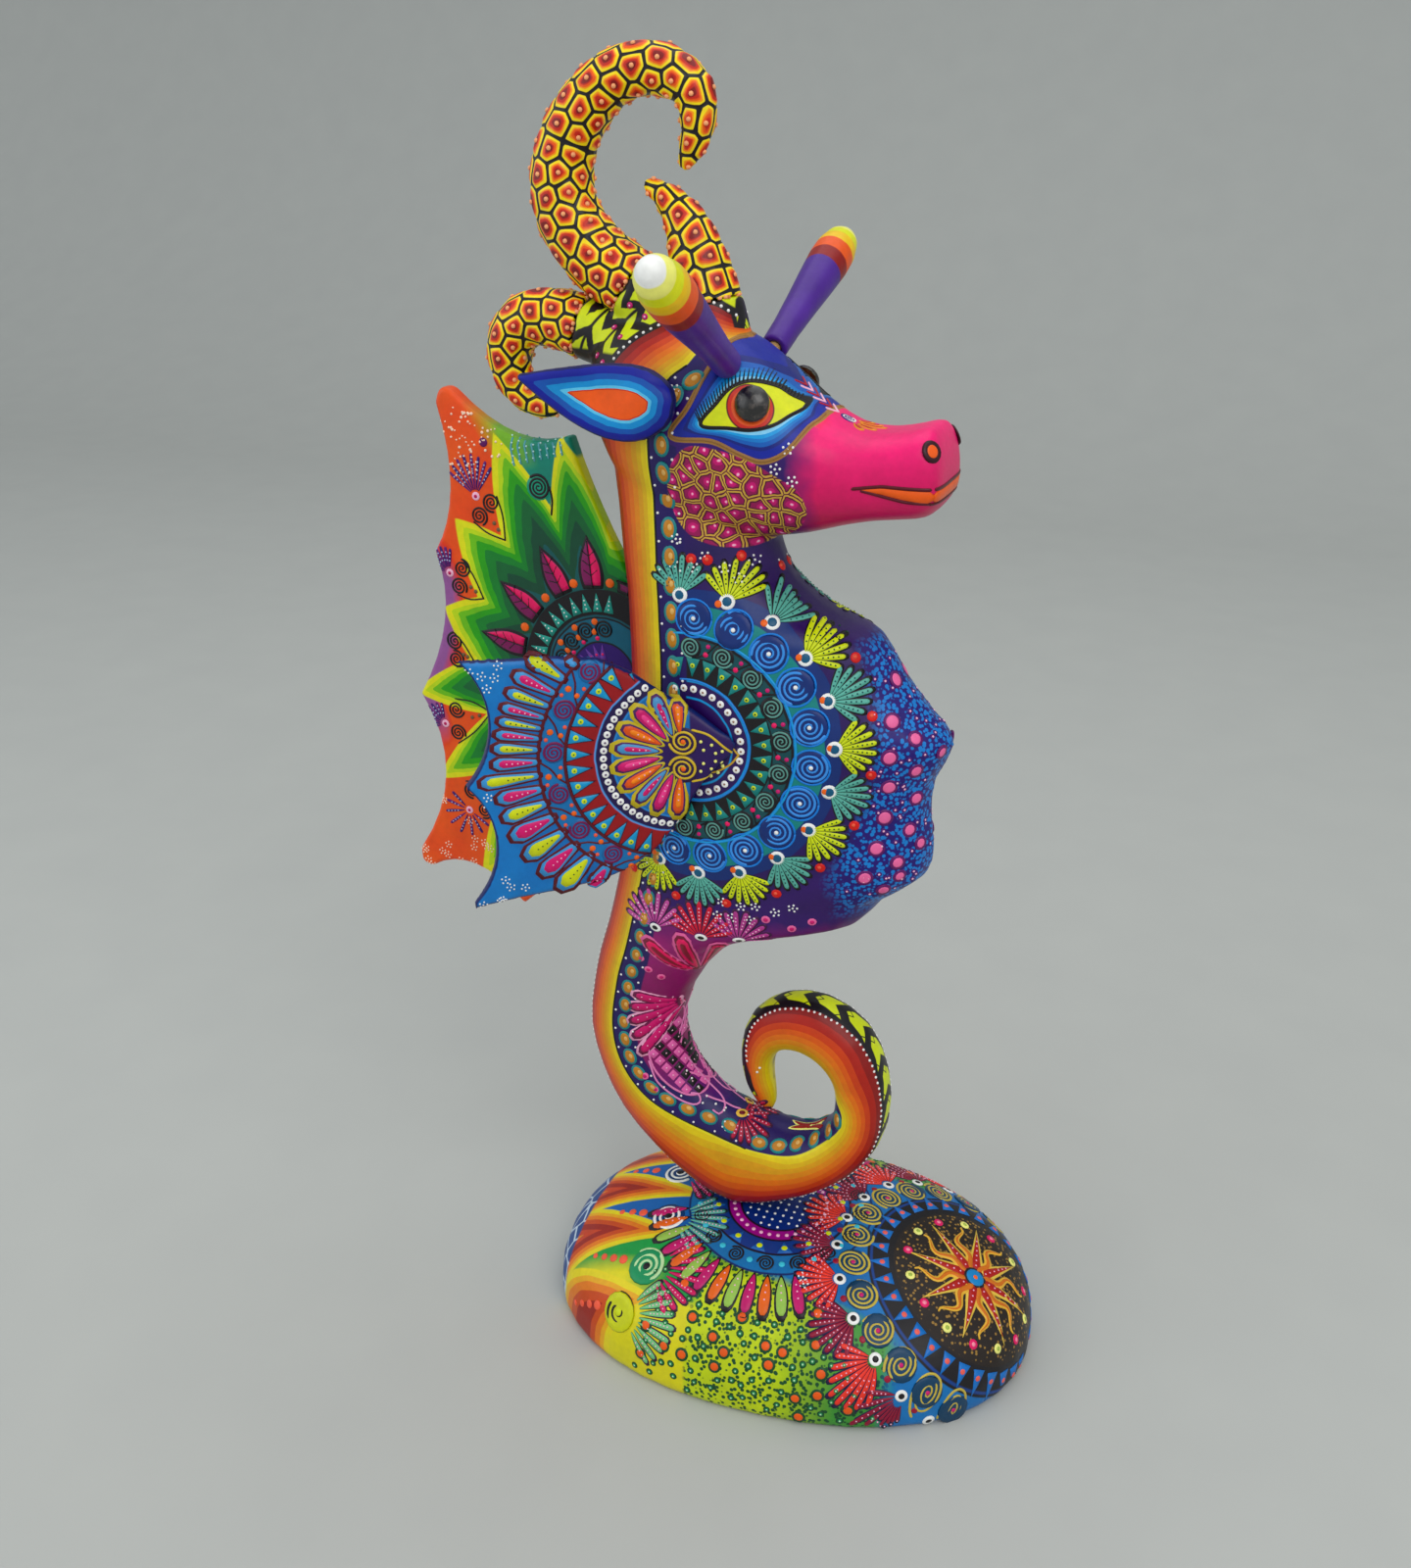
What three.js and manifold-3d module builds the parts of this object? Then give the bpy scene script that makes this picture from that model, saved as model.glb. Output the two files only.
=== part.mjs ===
// A carved and painted copal wood figure of a horned seahorse, standing on a rounded mound.
// Millimetres, +Z up, heading along +X, the figure's right flank on -Y. The origin is the
// centre of the mound's flat underside. Every carved shape that lies on the median plane is a
// row of stations; each station is a chord from a back point to a front point with a half width.
import * as THREE from 'three';
import { mergeVertices } from 'three/addons/utils/BufferGeometryUtils.js';
import Module from 'manifold-3d';

const wasm = await Module();
wasm.setup();

// ---- driving dimensions ----
const gap = 0.3;                       // clearance between separate pieces
const bodySteps = 24;                  // points round each section of the body
const branchSteps = 18;                // points round the antlers, horns, ears and fins
const moundSteps = 40;                 // points round the mound

const moundHalfLength = 112;
const moundHalfWidth = 77;
const moundHeight = 52;
const moundYaw = 7;                    // degrees from the figure's heading
const moundFootRound = 4;              // height of the tucked-in foot
const moundPlanPower = 2.25;           // superellipse power of the plan
const moundDomePower = 2.6;            // superellipse power of the dome
const moundFootInset = 0.97;           // share of the plan that touches the ground
const moundFootShare = 0.99;           // share of the plan a third of the way up the foot
const moundTopShare = 0.985;           // share of the quarter turn at which the dome is closed
const figureForward = 8;               // the figure's own origin lies this far ahead of the mound's centre

const pegRadius = 2.5;                 // small pegs: ears, horns, fins
const stoutPegRadius = 4;              // antler pegs
const dowelRadius = 5;                 // dowel that stands the figure on the mound
const pegSides = 16;

const eyeRadius = 6.3;
const eyeHeight = 3.2;
const eyeSeatDepth = 2;
const eyeSeatReach = 8;                // how far the seat's cutter stands out of the head
const eyeCentre = [-24, -29.2, 421];
const eyeOutward = [0.08, -0.97, 0.22];

const hornBase = [-35, -24, 433];
const hornTip = [-31, -101.5, 470.5];
const hornProfile = [[5.4, 0], [5.6, 14], [6.5, 30], [7.7, 47], [8.6, 62], [8.4, 71], [6.8, 79], [3.8, 84]];

const earRoot = [-50.5, -35, 419];
const earTip = [-106.5, -45.5, 428];
const earDish = 3.6;                   // depth of the hollow on the ear's outer face
const earDishStart = 0.16;             // share of the ear's length at which the hollow begins
const earSag = 2.3;                    // how far the middle of the ear hangs below its own axis
const earPegPoint = [-63, -31.3, 419]; // where the ear's peg crosses the head's surface
const earPull = [-0.15, -1, 0];        // direction in which an ear comes off its peg
// distance along the ear, half height, half thickness
const earSections = [[0, 3.2, 2.6], [0.03, 7, 4], [0.1, 10.4, 5.2], [0.19, 12.9, 6], [0.29, 13.8, 6],
  [0.4, 13.4, 5.8], [0.52, 12, 5.4], [0.66, 9.4, 4.8], [0.8, 6.2, 4], [0.91, 3.3, 2.8], [1, 1, 1.4]];

const dorsalThickness = 8;
const dorsalBevel = 1.4;
const dorsalRootTop = [-72, 328];
const dorsalRootBottom = [-72, 248];
// rounded tips of the dorsal fin from the top one down, each with the hollow that follows it
const dorsalTips = [[-109, 400], [-161, 414.5], [-168.5, 409], [-174, 348], [-187, 283], [-194, 206],
  [-188, 197.5], [-141, 187]];
const dorsalHollows = [[-134, 390], [-167, 418], [-158, 372], [-164, 320], [-165, 248], [-196, 196],
  [-166, 212]];
const dorsalFrontEdge = [-96, 362];    // bend of the edge from the root up to the first tip
const dorsalLowerEdge = [-112, 214];

const scallopRadius = 36;              // hollows between the side fin's three points
const sideFinScallops = [306.5, 256.5]; // height of each hollow's centre
const sideFinAngle = 35;               // degrees between the fin and the median plane
const scallopDepth = 10;
const scallopReach = 30;               // half length of the cutter that takes a hollow out of the fin
const finEdgePower = 0.75;             // how square the fin's upper and lower edges are
const finFacePower = 0.5;              // how flat its faces are
// path of the fin in plan, its lowest and highest edge, and its thickness
const sideFinStations = [
  [-27, -31.5, 292, 296, 1.6],
  [-33, -33.2, 286, 299, 4.5],
  [-40, -34.2, 277, 304, 6.5],
  [-48, -35, 263, 309, 8],
  [-56, -37, 250, 313.5, 8.5],
  [-65, -43, 241, 322, 8.5],
  [-76, -51, 235.5, 329, 8],
  [-89, -60.5, 233, 331, 7],
  [-104, -71, 231, 331.5, 6],
  [-118, -81, 228.5, 332, 5],
];

const dowelPoint = [-36, 0];           // where the dowel stands in plan
const dowelSpan = [18, 84];

// ---- carved stations: back x, back z, front x, front z, half width, power, skew ----
// torso from inside the head down to the tip of the curled tail
const torsoStations = [
  [-86, 420, -34, 412, 22, 2, 1],
  [-89, 400, -26, 385, 26, 2, 1.05],
  [-86.5, 380, -22.5, 365, 27, 2.05, 1.1],
  [-84, 360, -16, 352, 28, 2.1, 1.2],
  [-82.5, 346, 3, 339, 29, 2.1, 1.25],
  [-82, 336, 19.5, 333, 30, 2.1, 1.3],
  [-81.5, 322, 30, 317, 31, 2.1, 1.3],
  [-81.5, 308, 42, 303, 32, 2.1, 1.3],
  [-81.5, 294, 50, 294, 32, 2.1, 1.3],
  [-82, 278, 43.5, 278, 32, 2.1, 1.3],
  [-83.5, 262, 43, 262, 32, 2.1, 1.3],
  [-85, 246, 45, 248, 31.5, 2.1, 1.3],
  [-87.5, 230, 42.5, 236.5, 30.5, 2.1, 1.3],
  [-90.5, 216, 27, 224, 29.5, 2.1, 1.25],
  [-93.5, 203, 17, 211, 28.5, 2.1, 1.22],
  [-97, 190, -2, 206.5, 26.5, 2.1, 1.16],
  [-102, 174, -30, 196, 23, 2.1, 1.1],
  [-106, 156, -51, 175, 19.5, 2.1, 1.05],
  [-108.5, 134, -63, 147, 17.5, 2.1, 1],
  [-103.5, 112, -60.5, 127, 17, 2.15, 1],
  [-93.5, 91, -50, 112, 17, 2.2, 1],
  [-77.5, 73, -38, 104, 17, 2.2, 1],
  [-58, 58, -26, 100.5, 17, 2.25, 1],
  [-37, 50.5, -15, 98.5, 17, 2.25, 1],
  [-13, 58.5, -4, 99, 16.5, 2.25, 1],
  [9, 72.5, 4, 103.5, 16, 2.25, 1],
  [25, 89.5, 8.5, 110, 15.5, 2.25, 1],
  [33, 110, 10, 121, 15, 2.2, 1],
  [32, 135, 8, 131, 14.5, 2.2, 1],
  [22, 157, 1.5, 138, 14, 2.2, 1],
  [3, 168, -7, 141, 13, 2.2, 1],
  [-16, 166, -15, 139.5, 12, 2.2, 1],
  [-29.5, 155, -19.5, 133, 10.5, 2.1, 1],
  [-35, 137, -20, 124, 8.6, 2, 1],
  [-33, 118, -18.5, 115, 6.5, 2, 1],
  [-27, 107, -18.5, 107.5, 4, 2, 1],
  [-23, 103.5, -20, 104, 1.6, 2, 1],
];
// head from the nape to the nose: top x, top z, bottom x, bottom z, half width, power, skew
const headStations = [
  [-96, 428, -95.5, 412, 8, 2, 1],
  [-93.5, 437, -91, 400, 17, 2.1, 1],
  [-88, 443, -84, 387, 23, 2.2, 1],
  [-77, 447, -73, 376, 28, 2.3, 1],
  [-62, 447, -60, 370, 31, 2.35, 1],
  [-46, 444, -45, 368, 32, 2.35, 1],
  [-33, 439, -33, 368, 32, 2.35, 1],
  [-21, 430, -21, 369.5, 30.5, 2.4, 1],
  [-8, 419.5, -8, 372, 28, 2.5, 1],
  [5, 412, 5, 376, 25, 2.7, 1],
  [18, 410.5, 17.5, 379, 23, 3, 1],
  [29, 412.5, 28.5, 380.5, 22.5, 3.2, 1],
  [36, 414, 36, 382, 21.5, 3.2, 1],
  [39.5, 407, 40.5, 387, 19, 3, 1],
  [41, 400, 41.5, 394, 12, 2.6, 1],
];
// antler centre lines and radii; the first stretch of each is part of the crown
const tallAntler = [[-52, 428, 14], [-65, 443.5, 13.8], [-80.5, 455, 13.2], [-96, 465.5, 12.8],
  [-107.5, 480, 12.3], [-109, 496, 11.7], [-101, 513, 10.4], [-86.5, 524.8, 9.4], [-70.5, 527, 8.7],
  [-57.5, 520, 7.7], [-56, 508.5, 6.1], [-59.5, 499, 4], [-61.5, 495, 1.6]];
const frontAntler = [[-48, 424, 14], [-50, 440, 14], [-52.5, 454, 12.4], [-56.5, 467, 10.6],
  [-61, 478, 7.9], [-67.5, 485.5, 5.2], [-74, 489.5, 3], [-76.5, 490.5, 1.4]];
const backAntler = [[-72, 430, 12.4], [-86, 436.5, 12.6], [-100, 440, 12], [-113.5, 443, 11.2],
  [-126.5, 442, 10.3], [-134, 433.5, 9.6], [-134, 422, 8],
  [-128, 413.5, 6.4], [-119, 409.5, 4.2], [-114.5, 408.5, 1.8]];
// share of each centre line that belongs to the crown
const tallCrownShare = 0.17;
const frontCrownShare = 0.26;
const backCrownShare = 0.24;

// ---- solids ----
const V = (x, y, z) => new THREE.Vector3(x, y, z);
const finish = (color, roughness) => new THREE.MeshStandardMaterial({ color, roughness, metalness: 0 });

function solidOf(geometry) {
  const bare = geometry.clone();
  bare.deleteAttribute('normal');
  bare.deleteAttribute('uv');
  const merged = mergeVertices(bare, 1e-4);
  return new wasm.Manifold(new wasm.Mesh({
    numProp: 3,
    vertProperties: new Float32Array(merged.attributes.position.array),
    triVerts: new Uint32Array(merged.index.array),
  }));
}

function geometryOf(solid) {
  const mesh = solid.getMesh();
  const geometry = new THREE.BufferGeometry();
  geometry.setAttribute('position', new THREE.BufferAttribute(new Float32Array(mesh.vertProperties), 3));
  geometry.setIndex(new THREE.BufferAttribute(new Uint32Array(mesh.triVerts), 1));
  geometry.computeVertexNormals();
  return geometry;
}

function mirrored(solid) {
  const geometry = geometryOf(solid);
  const position = geometry.attributes.position;
  for (let i = 0; i < position.count; i += 1) position.setY(i, -position.getY(i));
  const index = geometry.index.array;
  for (let i = 0; i < index.length; i += 3) [index[i], index[i + 1]] = [index[i + 1], index[i]];
  return solidOf(geometry);
}

// closed skin over rings of equal length, with a fan at each end; turned out if it came inside out
function loft(rings) {
  const steps = rings[0].length;
  const points = rings.flat();
  const faces = [];
  for (let r = 0; r + 1 < rings.length; r += 1) {
    for (let i = 0; i < steps; i += 1) {
      const a = r * steps + i;
      const b = r * steps + (i + 1) % steps;
      faces.push([a, b, b + steps], [a, b + steps, a + steps]);
    }
  }
  const middle = (ring) => ring.reduce((sum, p) => sum.add(p), V(0, 0, 0)).divideScalar(steps);
  const first = points.push(middle(rings[0])) - 1;
  const last = points.push(middle(rings[rings.length - 1])) - 1;
  const lastRing = (rings.length - 1) * steps;
  for (let i = 0; i < steps; i += 1) {
    const next = (i + 1) % steps;
    faces.push([first, next, i], [last, lastRing + i, lastRing + next]);
  }
  const cornerVolume = ([a, b, c]) => points[a].dot(V(0, 0, 0).crossVectors(points[b], points[c]));
  const volume = faces.reduce((sum, face) => sum + cornerVolume(face), 0);
  const order = volume > 0 ? faces : faces.map(([a, b, c]) => [a, c, b]);
  const geometry = new THREE.BufferGeometry().setFromPoints(points);
  geometry.setIndex(order.flat());
  return solidOf(geometry);
}

const signedPower = (value, power) => Math.sign(value) * Math.abs(value) ** power;

// ring of a section whose chord runs from back to front on the median plane
function chordRing(back, front, halfWidth, power, skew, grow, steps) {
  const along = front.clone().sub(back).normalize();
  const start = back.clone().addScaledVector(along, -grow);
  const chord = front.clone().addScaledVector(along, grow).sub(start);
  return Array.from({ length: steps }, (_, i) => {
    const angle = (i / steps) * 2 * Math.PI;
    const share = ((1 - signedPower(Math.cos(angle), 2 / power)) / 2) ** skew;
    const side = (halfWidth + grow) * signedPower(Math.sin(angle), 2 / power);
    return start.clone().addScaledVector(chord, share).add(V(0, side, 0));
  });
}

const curveThrough = (points) => new THREE.CatmullRomCurve3(points, false, 'centripetal');

// carved form through stations, with extra sections between them
function carved(stations, between, grow = 0) {
  const back = curveThrough(stations.map(([x, z]) => V(x, 0, z)));
  const front = curveThrough(stations.map(([, , x, z]) => V(x, 0, z)));
  const shape = curveThrough(stations.map(([, , , , w, power, skew]) => V(w, power, skew)));
  const sections = (stations.length - 1) * between;
  return loft(Array.from({ length: sections + 1 }, (_, i) => {
    const t = i / sections;
    const s = shape.getPoint(t);
    return chordRing(back.getPoint(t), front.getPoint(t), s.x, s.y, s.z, grow, bodySteps);
  }));
}

// round tapering branch on the median plane, between two shares of its centre line
function branch(stations, from, to, sections, grow = 0) {
  const line = curveThrough(stations.map(([x, z]) => V(x, 0, z)));
  const girth = curveThrough(stations.map(([, , r]) => V(r, 0, 0)));
  return loft(Array.from({ length: sections + 1 }, (_, i) => {
    const t = from + (to - from) * (i / sections);
    const tangent = line.getTangent(t);
    const across = V(-tangent.z, 0, tangent.x).multiplyScalar(girth.getPoint(t).x);
    const centre = line.getPoint(t);
    const [outer, inner] = [centre.clone().add(across), centre.clone().sub(across)];
    return chordRing(outer, inner, across.length(), 2, 1, grow, branchSteps);
  }));
}

function placed(geometry, from, to) {
  const axis = to.clone().sub(from).normalize();
  geometry.applyQuaternion(new THREE.Quaternion().setFromUnitVectors(V(0, 1, 0), axis));
  return geometry.translate(from.x, from.y, from.z);
}

// a peg or the hole for it, from one end point to the other
function rod(from, to, radius, extra = 0, sides = pegSides) {
  const axis = to.clone().sub(from).normalize();
  const start = from.clone().addScaledVector(axis, -extra);
  const end = to.clone().addScaledVector(axis, extra);
  const length = start.distanceTo(end);
  const geometry = new THREE.CylinderGeometry(radius, radius, length, sides).translate(0, length / 2, 0);
  return placed(geometry, start, end);
}
const holeFor = (peg) => solidOf(rod(peg.from, peg.to, peg.radius + gap, gap));

function mound(grow = 0) {
  const rings = [];
  const turn = (moundYaw * Math.PI) / 180;
  const planRing = (scale, z) => Array.from({ length: moundSteps }, (_, i) => {
    const angle = (i / moundSteps) * 2 * Math.PI;
    const along = (moundHalfLength * scale + grow) * signedPower(Math.cos(angle), 2 / moundPlanPower);
    const across = (moundHalfWidth * scale + grow) * signedPower(Math.sin(angle), 2 / moundPlanPower);
    return V(along, across, z).applyAxisAngle(V(0, 0, 1), turn);
  });
  rings.push(planRing(moundFootInset, 0), planRing(moundFootShare, moundFootRound / 3));
  const domeSteps = 12;
  for (let i = 0; i <= domeSteps; i += 1) {
    const rise = (i / domeSteps) * (Math.PI / 2) * moundTopShare;
    const scale = Math.cos(rise) ** (2 / moundDomePower);
    const height = Math.sin(rise) ** (2 / moundDomePower);
    rings.push(planRing(scale, moundFootRound + (moundHeight - moundFootRound) * height + grow));
  }
  return loft(rings);
}

function horn() {
  const profile = [new THREE.Vector2(0, 0), ...hornProfile.map(([r, s]) => new THREE.Vector2(r, s)),
    new THREE.Vector2(0, V(...hornBase).distanceTo(V(...hornTip)))];
  return solidOf(placed(new THREE.LatheGeometry(profile, branchSteps), V(...hornBase), V(...hornTip)));
}

function ear() {
  const root = V(...earRoot);
  const tip = V(...earTip);
  const length = root.distanceTo(tip);
  const along = tip.clone().sub(root).normalize();
  const outward = V(0, 0, 1).cross(along).normalize();
  if (outward.y > 0) outward.negate();
  const up = outward.clone().cross(along).normalize();
  if (up.z < 0) up.negate();
  const shape = curveThrough(earSections.map(([s, h, t]) => V(s, h, t)));
  const sections = earSections.length * 2;
  return loft(Array.from({ length: sections + 1 }, (_, i) => {
    const s = shape.getPoint(i / sections);
    const dishShare = Math.min(1, Math.max(0, (s.x - earDishStart) / (1 - earDishStart)));
    const dishHere = earDish * Math.sin(Math.PI * dishShare) ** 1.5;
    const sagHere = earSag * Math.sin(Math.PI * Math.min(1, s.x));
    return Array.from({ length: branchSteps }, (_unused, k) => {
      const angle = (k / branchSteps) * 2 * Math.PI;
      const high = s.y * Math.cos(angle) - sagHere;
      const hollow = Math.sin(angle) > 0 ? dishHere * Math.sin(angle) ** 3 : 0;
      return root.clone().addScaledVector(along, s.x * length).addScaledVector(up, high)
        .addScaledVector(outward, s.z * Math.sin(angle) - hollow);
    });
  }));
}

function dorsalFin() {
  const shape = new THREE.Shape();
  shape.moveTo(...dorsalRootTop);
  dorsalTips.forEach(([x, z], i) => {
    if (i === 0) shape.quadraticCurveTo(...dorsalFrontEdge, x, z);
    else shape.quadraticCurveTo(...dorsalHollows[i - 1], x, z);
  });
  shape.quadraticCurveTo(...dorsalLowerEdge, ...dorsalRootBottom);
  shape.closePath();
  const depth = dorsalThickness - 2 * dorsalBevel;
  const geometry = new THREE.ExtrudeGeometry(shape, {
    depth,
    steps: 1,
    curveSegments: 8,
    bevelThickness: dorsalBevel,
    bevelSize: dorsalBevel,
    bevelOffset: -dorsalBevel,
    bevelSegments: 2,
  });
  geometry.translate(0, 0, -depth / 2).rotateX(Math.PI / 2);
  return solidOf(geometry);
}

function sideFin() {
  const path = curveThrough(sideFinStations.map(([x, y]) => V(x, y, 0)));
  const edges = curveThrough(sideFinStations.map(([, , low, high, t]) => V(low, high, t)));
  const sections = (sideFinStations.length - 1) * 2;
  const sheet = loft(Array.from({ length: sections + 1 }, (_, i) => {
    const t = i / sections;
    const centre = path.getPoint(t);
    const tangent = path.getTangent(t);
    const outward = V(tangent.y, -tangent.x, 0).normalize();
    const edge = edges.getPoint(t);
    const middle = (edge.x + edge.y) / 2;
    const half = (edge.y - edge.x) / 2;
    return Array.from({ length: branchSteps }, (_unused, k) => {
      const angle = (k / branchSteps) * 2 * Math.PI;
      return centre.clone().add(V(0, 0, middle + half * signedPower(Math.cos(angle), finEdgePower)))
        .addScaledVector(outward, (edge.z / 2) * signedPower(Math.sin(angle), finFacePower));
    });
  }));
  const turn = (sideFinAngle * Math.PI) / 180;
  const along = V(-Math.cos(turn), -Math.sin(turn), 0);
  const across = V(along.y, -along.x, 0);
  const [tipX, tipY] = sideFinStations[sideFinStations.length - 1];
  const cuts = sideFinScallops.map((height) => {
    const centre = V(tipX, tipY, height).addScaledVector(along, scallopRadius - scallopDepth);
    const reach = across.clone().multiplyScalar(scallopReach);
    return solidOf(rod(centre.clone().sub(reach), centre.clone().add(reach), scallopRadius, 0, 48));
  });
  return cuts.reduce((solid, cut) => solid.subtract(cut), sheet);
}

function eyeDome() {
  const radius = (eyeRadius ** 2 + eyeHeight ** 2) / (2 * eyeHeight);
  const profile = [new THREE.Vector2(0, -eyeSeatDepth), new THREE.Vector2(eyeRadius, -eyeSeatDepth)];
  const steps = 7;
  for (let i = 0; i <= steps; i += 1) {
    const r = eyeRadius * Math.cos((i / steps) * (Math.PI / 2));
    const height = Math.sqrt(radius ** 2 - r ** 2) - radius + eyeHeight;
    profile.push(new THREE.Vector2(i === steps ? 0 : r, height));
  }
  const centre = V(...eyeCentre);
  const top = centre.clone().add(V(...eyeOutward));
  return solidOf(placed(new THREE.LatheGeometry(profile, branchSteps), centre, top));
}

// ---- the figure ----
const assembly = new THREE.Group();
const figure = new THREE.Group();
figure.position.x = figureForward;
assembly.add(figure);

function addSolid(name, solid, color, roughness = 0.45, group = figure) {
  const mesh = new THREE.Mesh(geometryOf(solid), finish(color, roughness));
  mesh.name = name;
  group.add(mesh);
}

function addPeg(name, peg) {
  const mesh = new THREE.Mesh(rod(peg.from, peg.to, peg.radius), finish('#c9a877', 0.7));
  mesh.name = name;
  figure.add(mesh);
}

const acrossMedian = (peg) => ({
  from: peg.from.clone().setY(-peg.from.y),
  to: peg.to.clone().setY(-peg.to.y),
  radius: peg.radius,
});
const pegAlong = (from, direction, inside, outside, radius) => {
  const axis = direction.clone().normalize();
  const start = from.clone().addScaledVector(axis, -inside);
  const end = from.clone().addScaledVector(axis, outside);
  return { from: start, to: end, radius };
};

const hornAxis = V(...hornTip).sub(V(...hornBase));
const pegs = {
  ear_peg_right: pegAlong(V(...earPegPoint), V(...earPull), 15, 6.5, pegRadius),
  horn_peg_right: pegAlong(V(...hornBase), hornAxis, 15, 22, pegRadius),
  side_fin_peg_right_upper: pegAlong(V(-60, -30, 298), V(-0.7, -1, 0), 16, 11, pegRadius),
  side_fin_peg_right_lower: pegAlong(V(-60, -30, 270), V(-0.7, -1, 0), 16, 11, pegRadius),
};
Object.entries(pegs).forEach(([name, peg]) => {
  pegs[name.replace('right', 'left')] = acrossMedian(peg);
});
Object.assign(pegs, {
  dorsal_fin_peg_upper: { from: V(-64, 0, 318), to: V(-112, 0, 326), radius: pegRadius },
  dorsal_fin_peg_lower: { from: V(-64, 0, 262), to: V(-112, 0, 254), radius: pegRadius },
  tail_dowel: {
    from: V(...dowelPoint, dowelSpan[0]),
    to: V(...dowelPoint, dowelSpan[1]),
    radius: dowelRadius,
  },
});
const antlers = {
  tall: [tallAntler, tallCrownShare],
  front: [frontAntler, frontCrownShare],
  back: [backAntler, backCrownShare],
};
Object.entries(antlers).forEach(([name, [stations, share]]) => {
  const line = curveThrough(stations.map(([x, z]) => V(x, 0, z)));
  pegs[`antler_peg_${name}`] = pegAlong(line.getPoint(share), line.getTangent(share), 16, 14, stoutPegRadius);
});

function carvedBody(grow) {
  const crown = Object.values(antlers).map(([stations, share]) => branch(stations, 0, share, 6, grow));
  const trunk = carved(torsoStations, 2, grow).add(carved(headStations, 2, grow));
  return crown.reduce((solid, stub) => solid.add(stub), trunk);
}

const holes = Object.fromEntries(Object.entries(pegs).map(([name, peg]) => [name, holeFor(peg)]));
const cutBy = (solid, ...cutters) => cutters.reduce((left, cutter) => left.subtract(cutter), solid);
const clearOfBody = carvedBody(gap);

const eyeRight = eyeDome();
const eyeSeat = solidOf(rod(
  V(...eyeCentre).addScaledVector(V(...eyeOutward).normalize(), -eyeSeatDepth - gap),
  V(...eyeCentre).addScaledVector(V(...eyeOutward).normalize(), eyeSeatReach),
  eyeRadius + gap,
));
const inFigure = (solid) => solidOf(geometryOf(solid).translate(-figureForward, 0, 0));
const baseHole = solidOf(geometryOf(holes.tail_dowel).translate(figureForward, 0, 0));
addSolid('base', cutBy(mound(), baseHole), '#2e7fb8', 0.45, assembly);
const bodyCuts = [eyeSeat, mirrored(eyeSeat), ...Object.values(holes)];
addSolid('body', cutBy(carvedBody(0), inFigure(mound(gap)), ...bodyCuts), '#4b2f86');
addSolid('eye_right', eyeRight, '#141210', 0.2);
addSolid('eye_left', mirrored(eyeRight), '#141210', 0.2);

const hornRight = cutBy(horn(), clearOfBody, holes.horn_peg_right);
addSolid('horn_right', hornRight, '#4a2c8c');
addSolid('horn_left', mirrored(hornRight), '#4a2c8c');

const earRight = cutBy(ear(), clearOfBody, holes.ear_peg_right);
addSolid('ear_right', earRight, '#1538a8');
addSolid('ear_left', mirrored(earRight), '#1538a8');

const sideFinHoles = [holes.side_fin_peg_right_upper, holes.side_fin_peg_right_lower];
const finRight = cutBy(sideFin(), clearOfBody, ...sideFinHoles);
addSolid('side_fin_right', finRight, '#2b86c4');
addSolid('side_fin_left', mirrored(finRight), '#2b86c4');

const dorsalHoles = [holes.dorsal_fin_peg_upper, holes.dorsal_fin_peg_lower];
addSolid('dorsal_fin', cutBy(dorsalFin(), clearOfBody, ...dorsalHoles), '#e8562a');

// an antler starts a little inside the crown, so that its foot is cut to the crown's own surface
const antlerOverlap = 0.02;
const antlerOf = (name, sections, grow = 0) => {
  const [stations, share] = antlers[name];
  return branch(stations, share - antlerOverlap, 1, sections, grow);
};
const clearOfTall = antlerOf('tall', 24, gap);
addSolid('antler_tall', cutBy(antlerOf('tall', 24), clearOfBody, holes.antler_peg_tall), '#f0c832');
[['front', 16], ['back', 20]].forEach(([name, sections]) => {
  const antler = cutBy(antlerOf(name, sections), clearOfBody, clearOfTall, holes[`antler_peg_${name}`]);
  addSolid(`antler_${name}`, antler, '#f0c832');
});

Object.entries(pegs).forEach(([name, peg]) => addPeg(name, peg));

export default assembly;
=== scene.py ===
import math
import random
import bpy
import bmesh
import numpy as np
from mathutils import Matrix, Vector
from mathutils.bvhtree import BVHTree
from mathutils.kdtree import KDTree


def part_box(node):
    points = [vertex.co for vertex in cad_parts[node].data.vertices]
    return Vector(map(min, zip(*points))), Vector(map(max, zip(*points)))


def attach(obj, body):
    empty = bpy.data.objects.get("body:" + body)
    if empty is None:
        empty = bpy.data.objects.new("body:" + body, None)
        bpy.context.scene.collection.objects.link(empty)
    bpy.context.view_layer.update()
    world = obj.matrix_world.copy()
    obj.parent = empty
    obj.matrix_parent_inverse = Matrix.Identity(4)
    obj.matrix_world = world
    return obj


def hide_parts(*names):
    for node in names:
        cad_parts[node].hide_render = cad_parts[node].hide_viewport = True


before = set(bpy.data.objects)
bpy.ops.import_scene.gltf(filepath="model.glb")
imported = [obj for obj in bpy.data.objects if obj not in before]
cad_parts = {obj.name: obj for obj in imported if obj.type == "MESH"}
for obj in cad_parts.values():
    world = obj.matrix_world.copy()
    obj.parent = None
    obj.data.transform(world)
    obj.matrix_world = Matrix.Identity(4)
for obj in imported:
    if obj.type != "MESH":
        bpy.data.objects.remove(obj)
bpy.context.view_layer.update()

low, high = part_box("tail_dowel")
dowelInFigure = -36                      # the dowel's place along the figure's own X, mm
forward = (low.x + high.x) * 500 - dowelInFigure
mm = 0.001
pi = math.pi


def inRow(x, y, z):
    return Vector(((x + forward) * mm, y * mm, z * mm))


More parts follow.
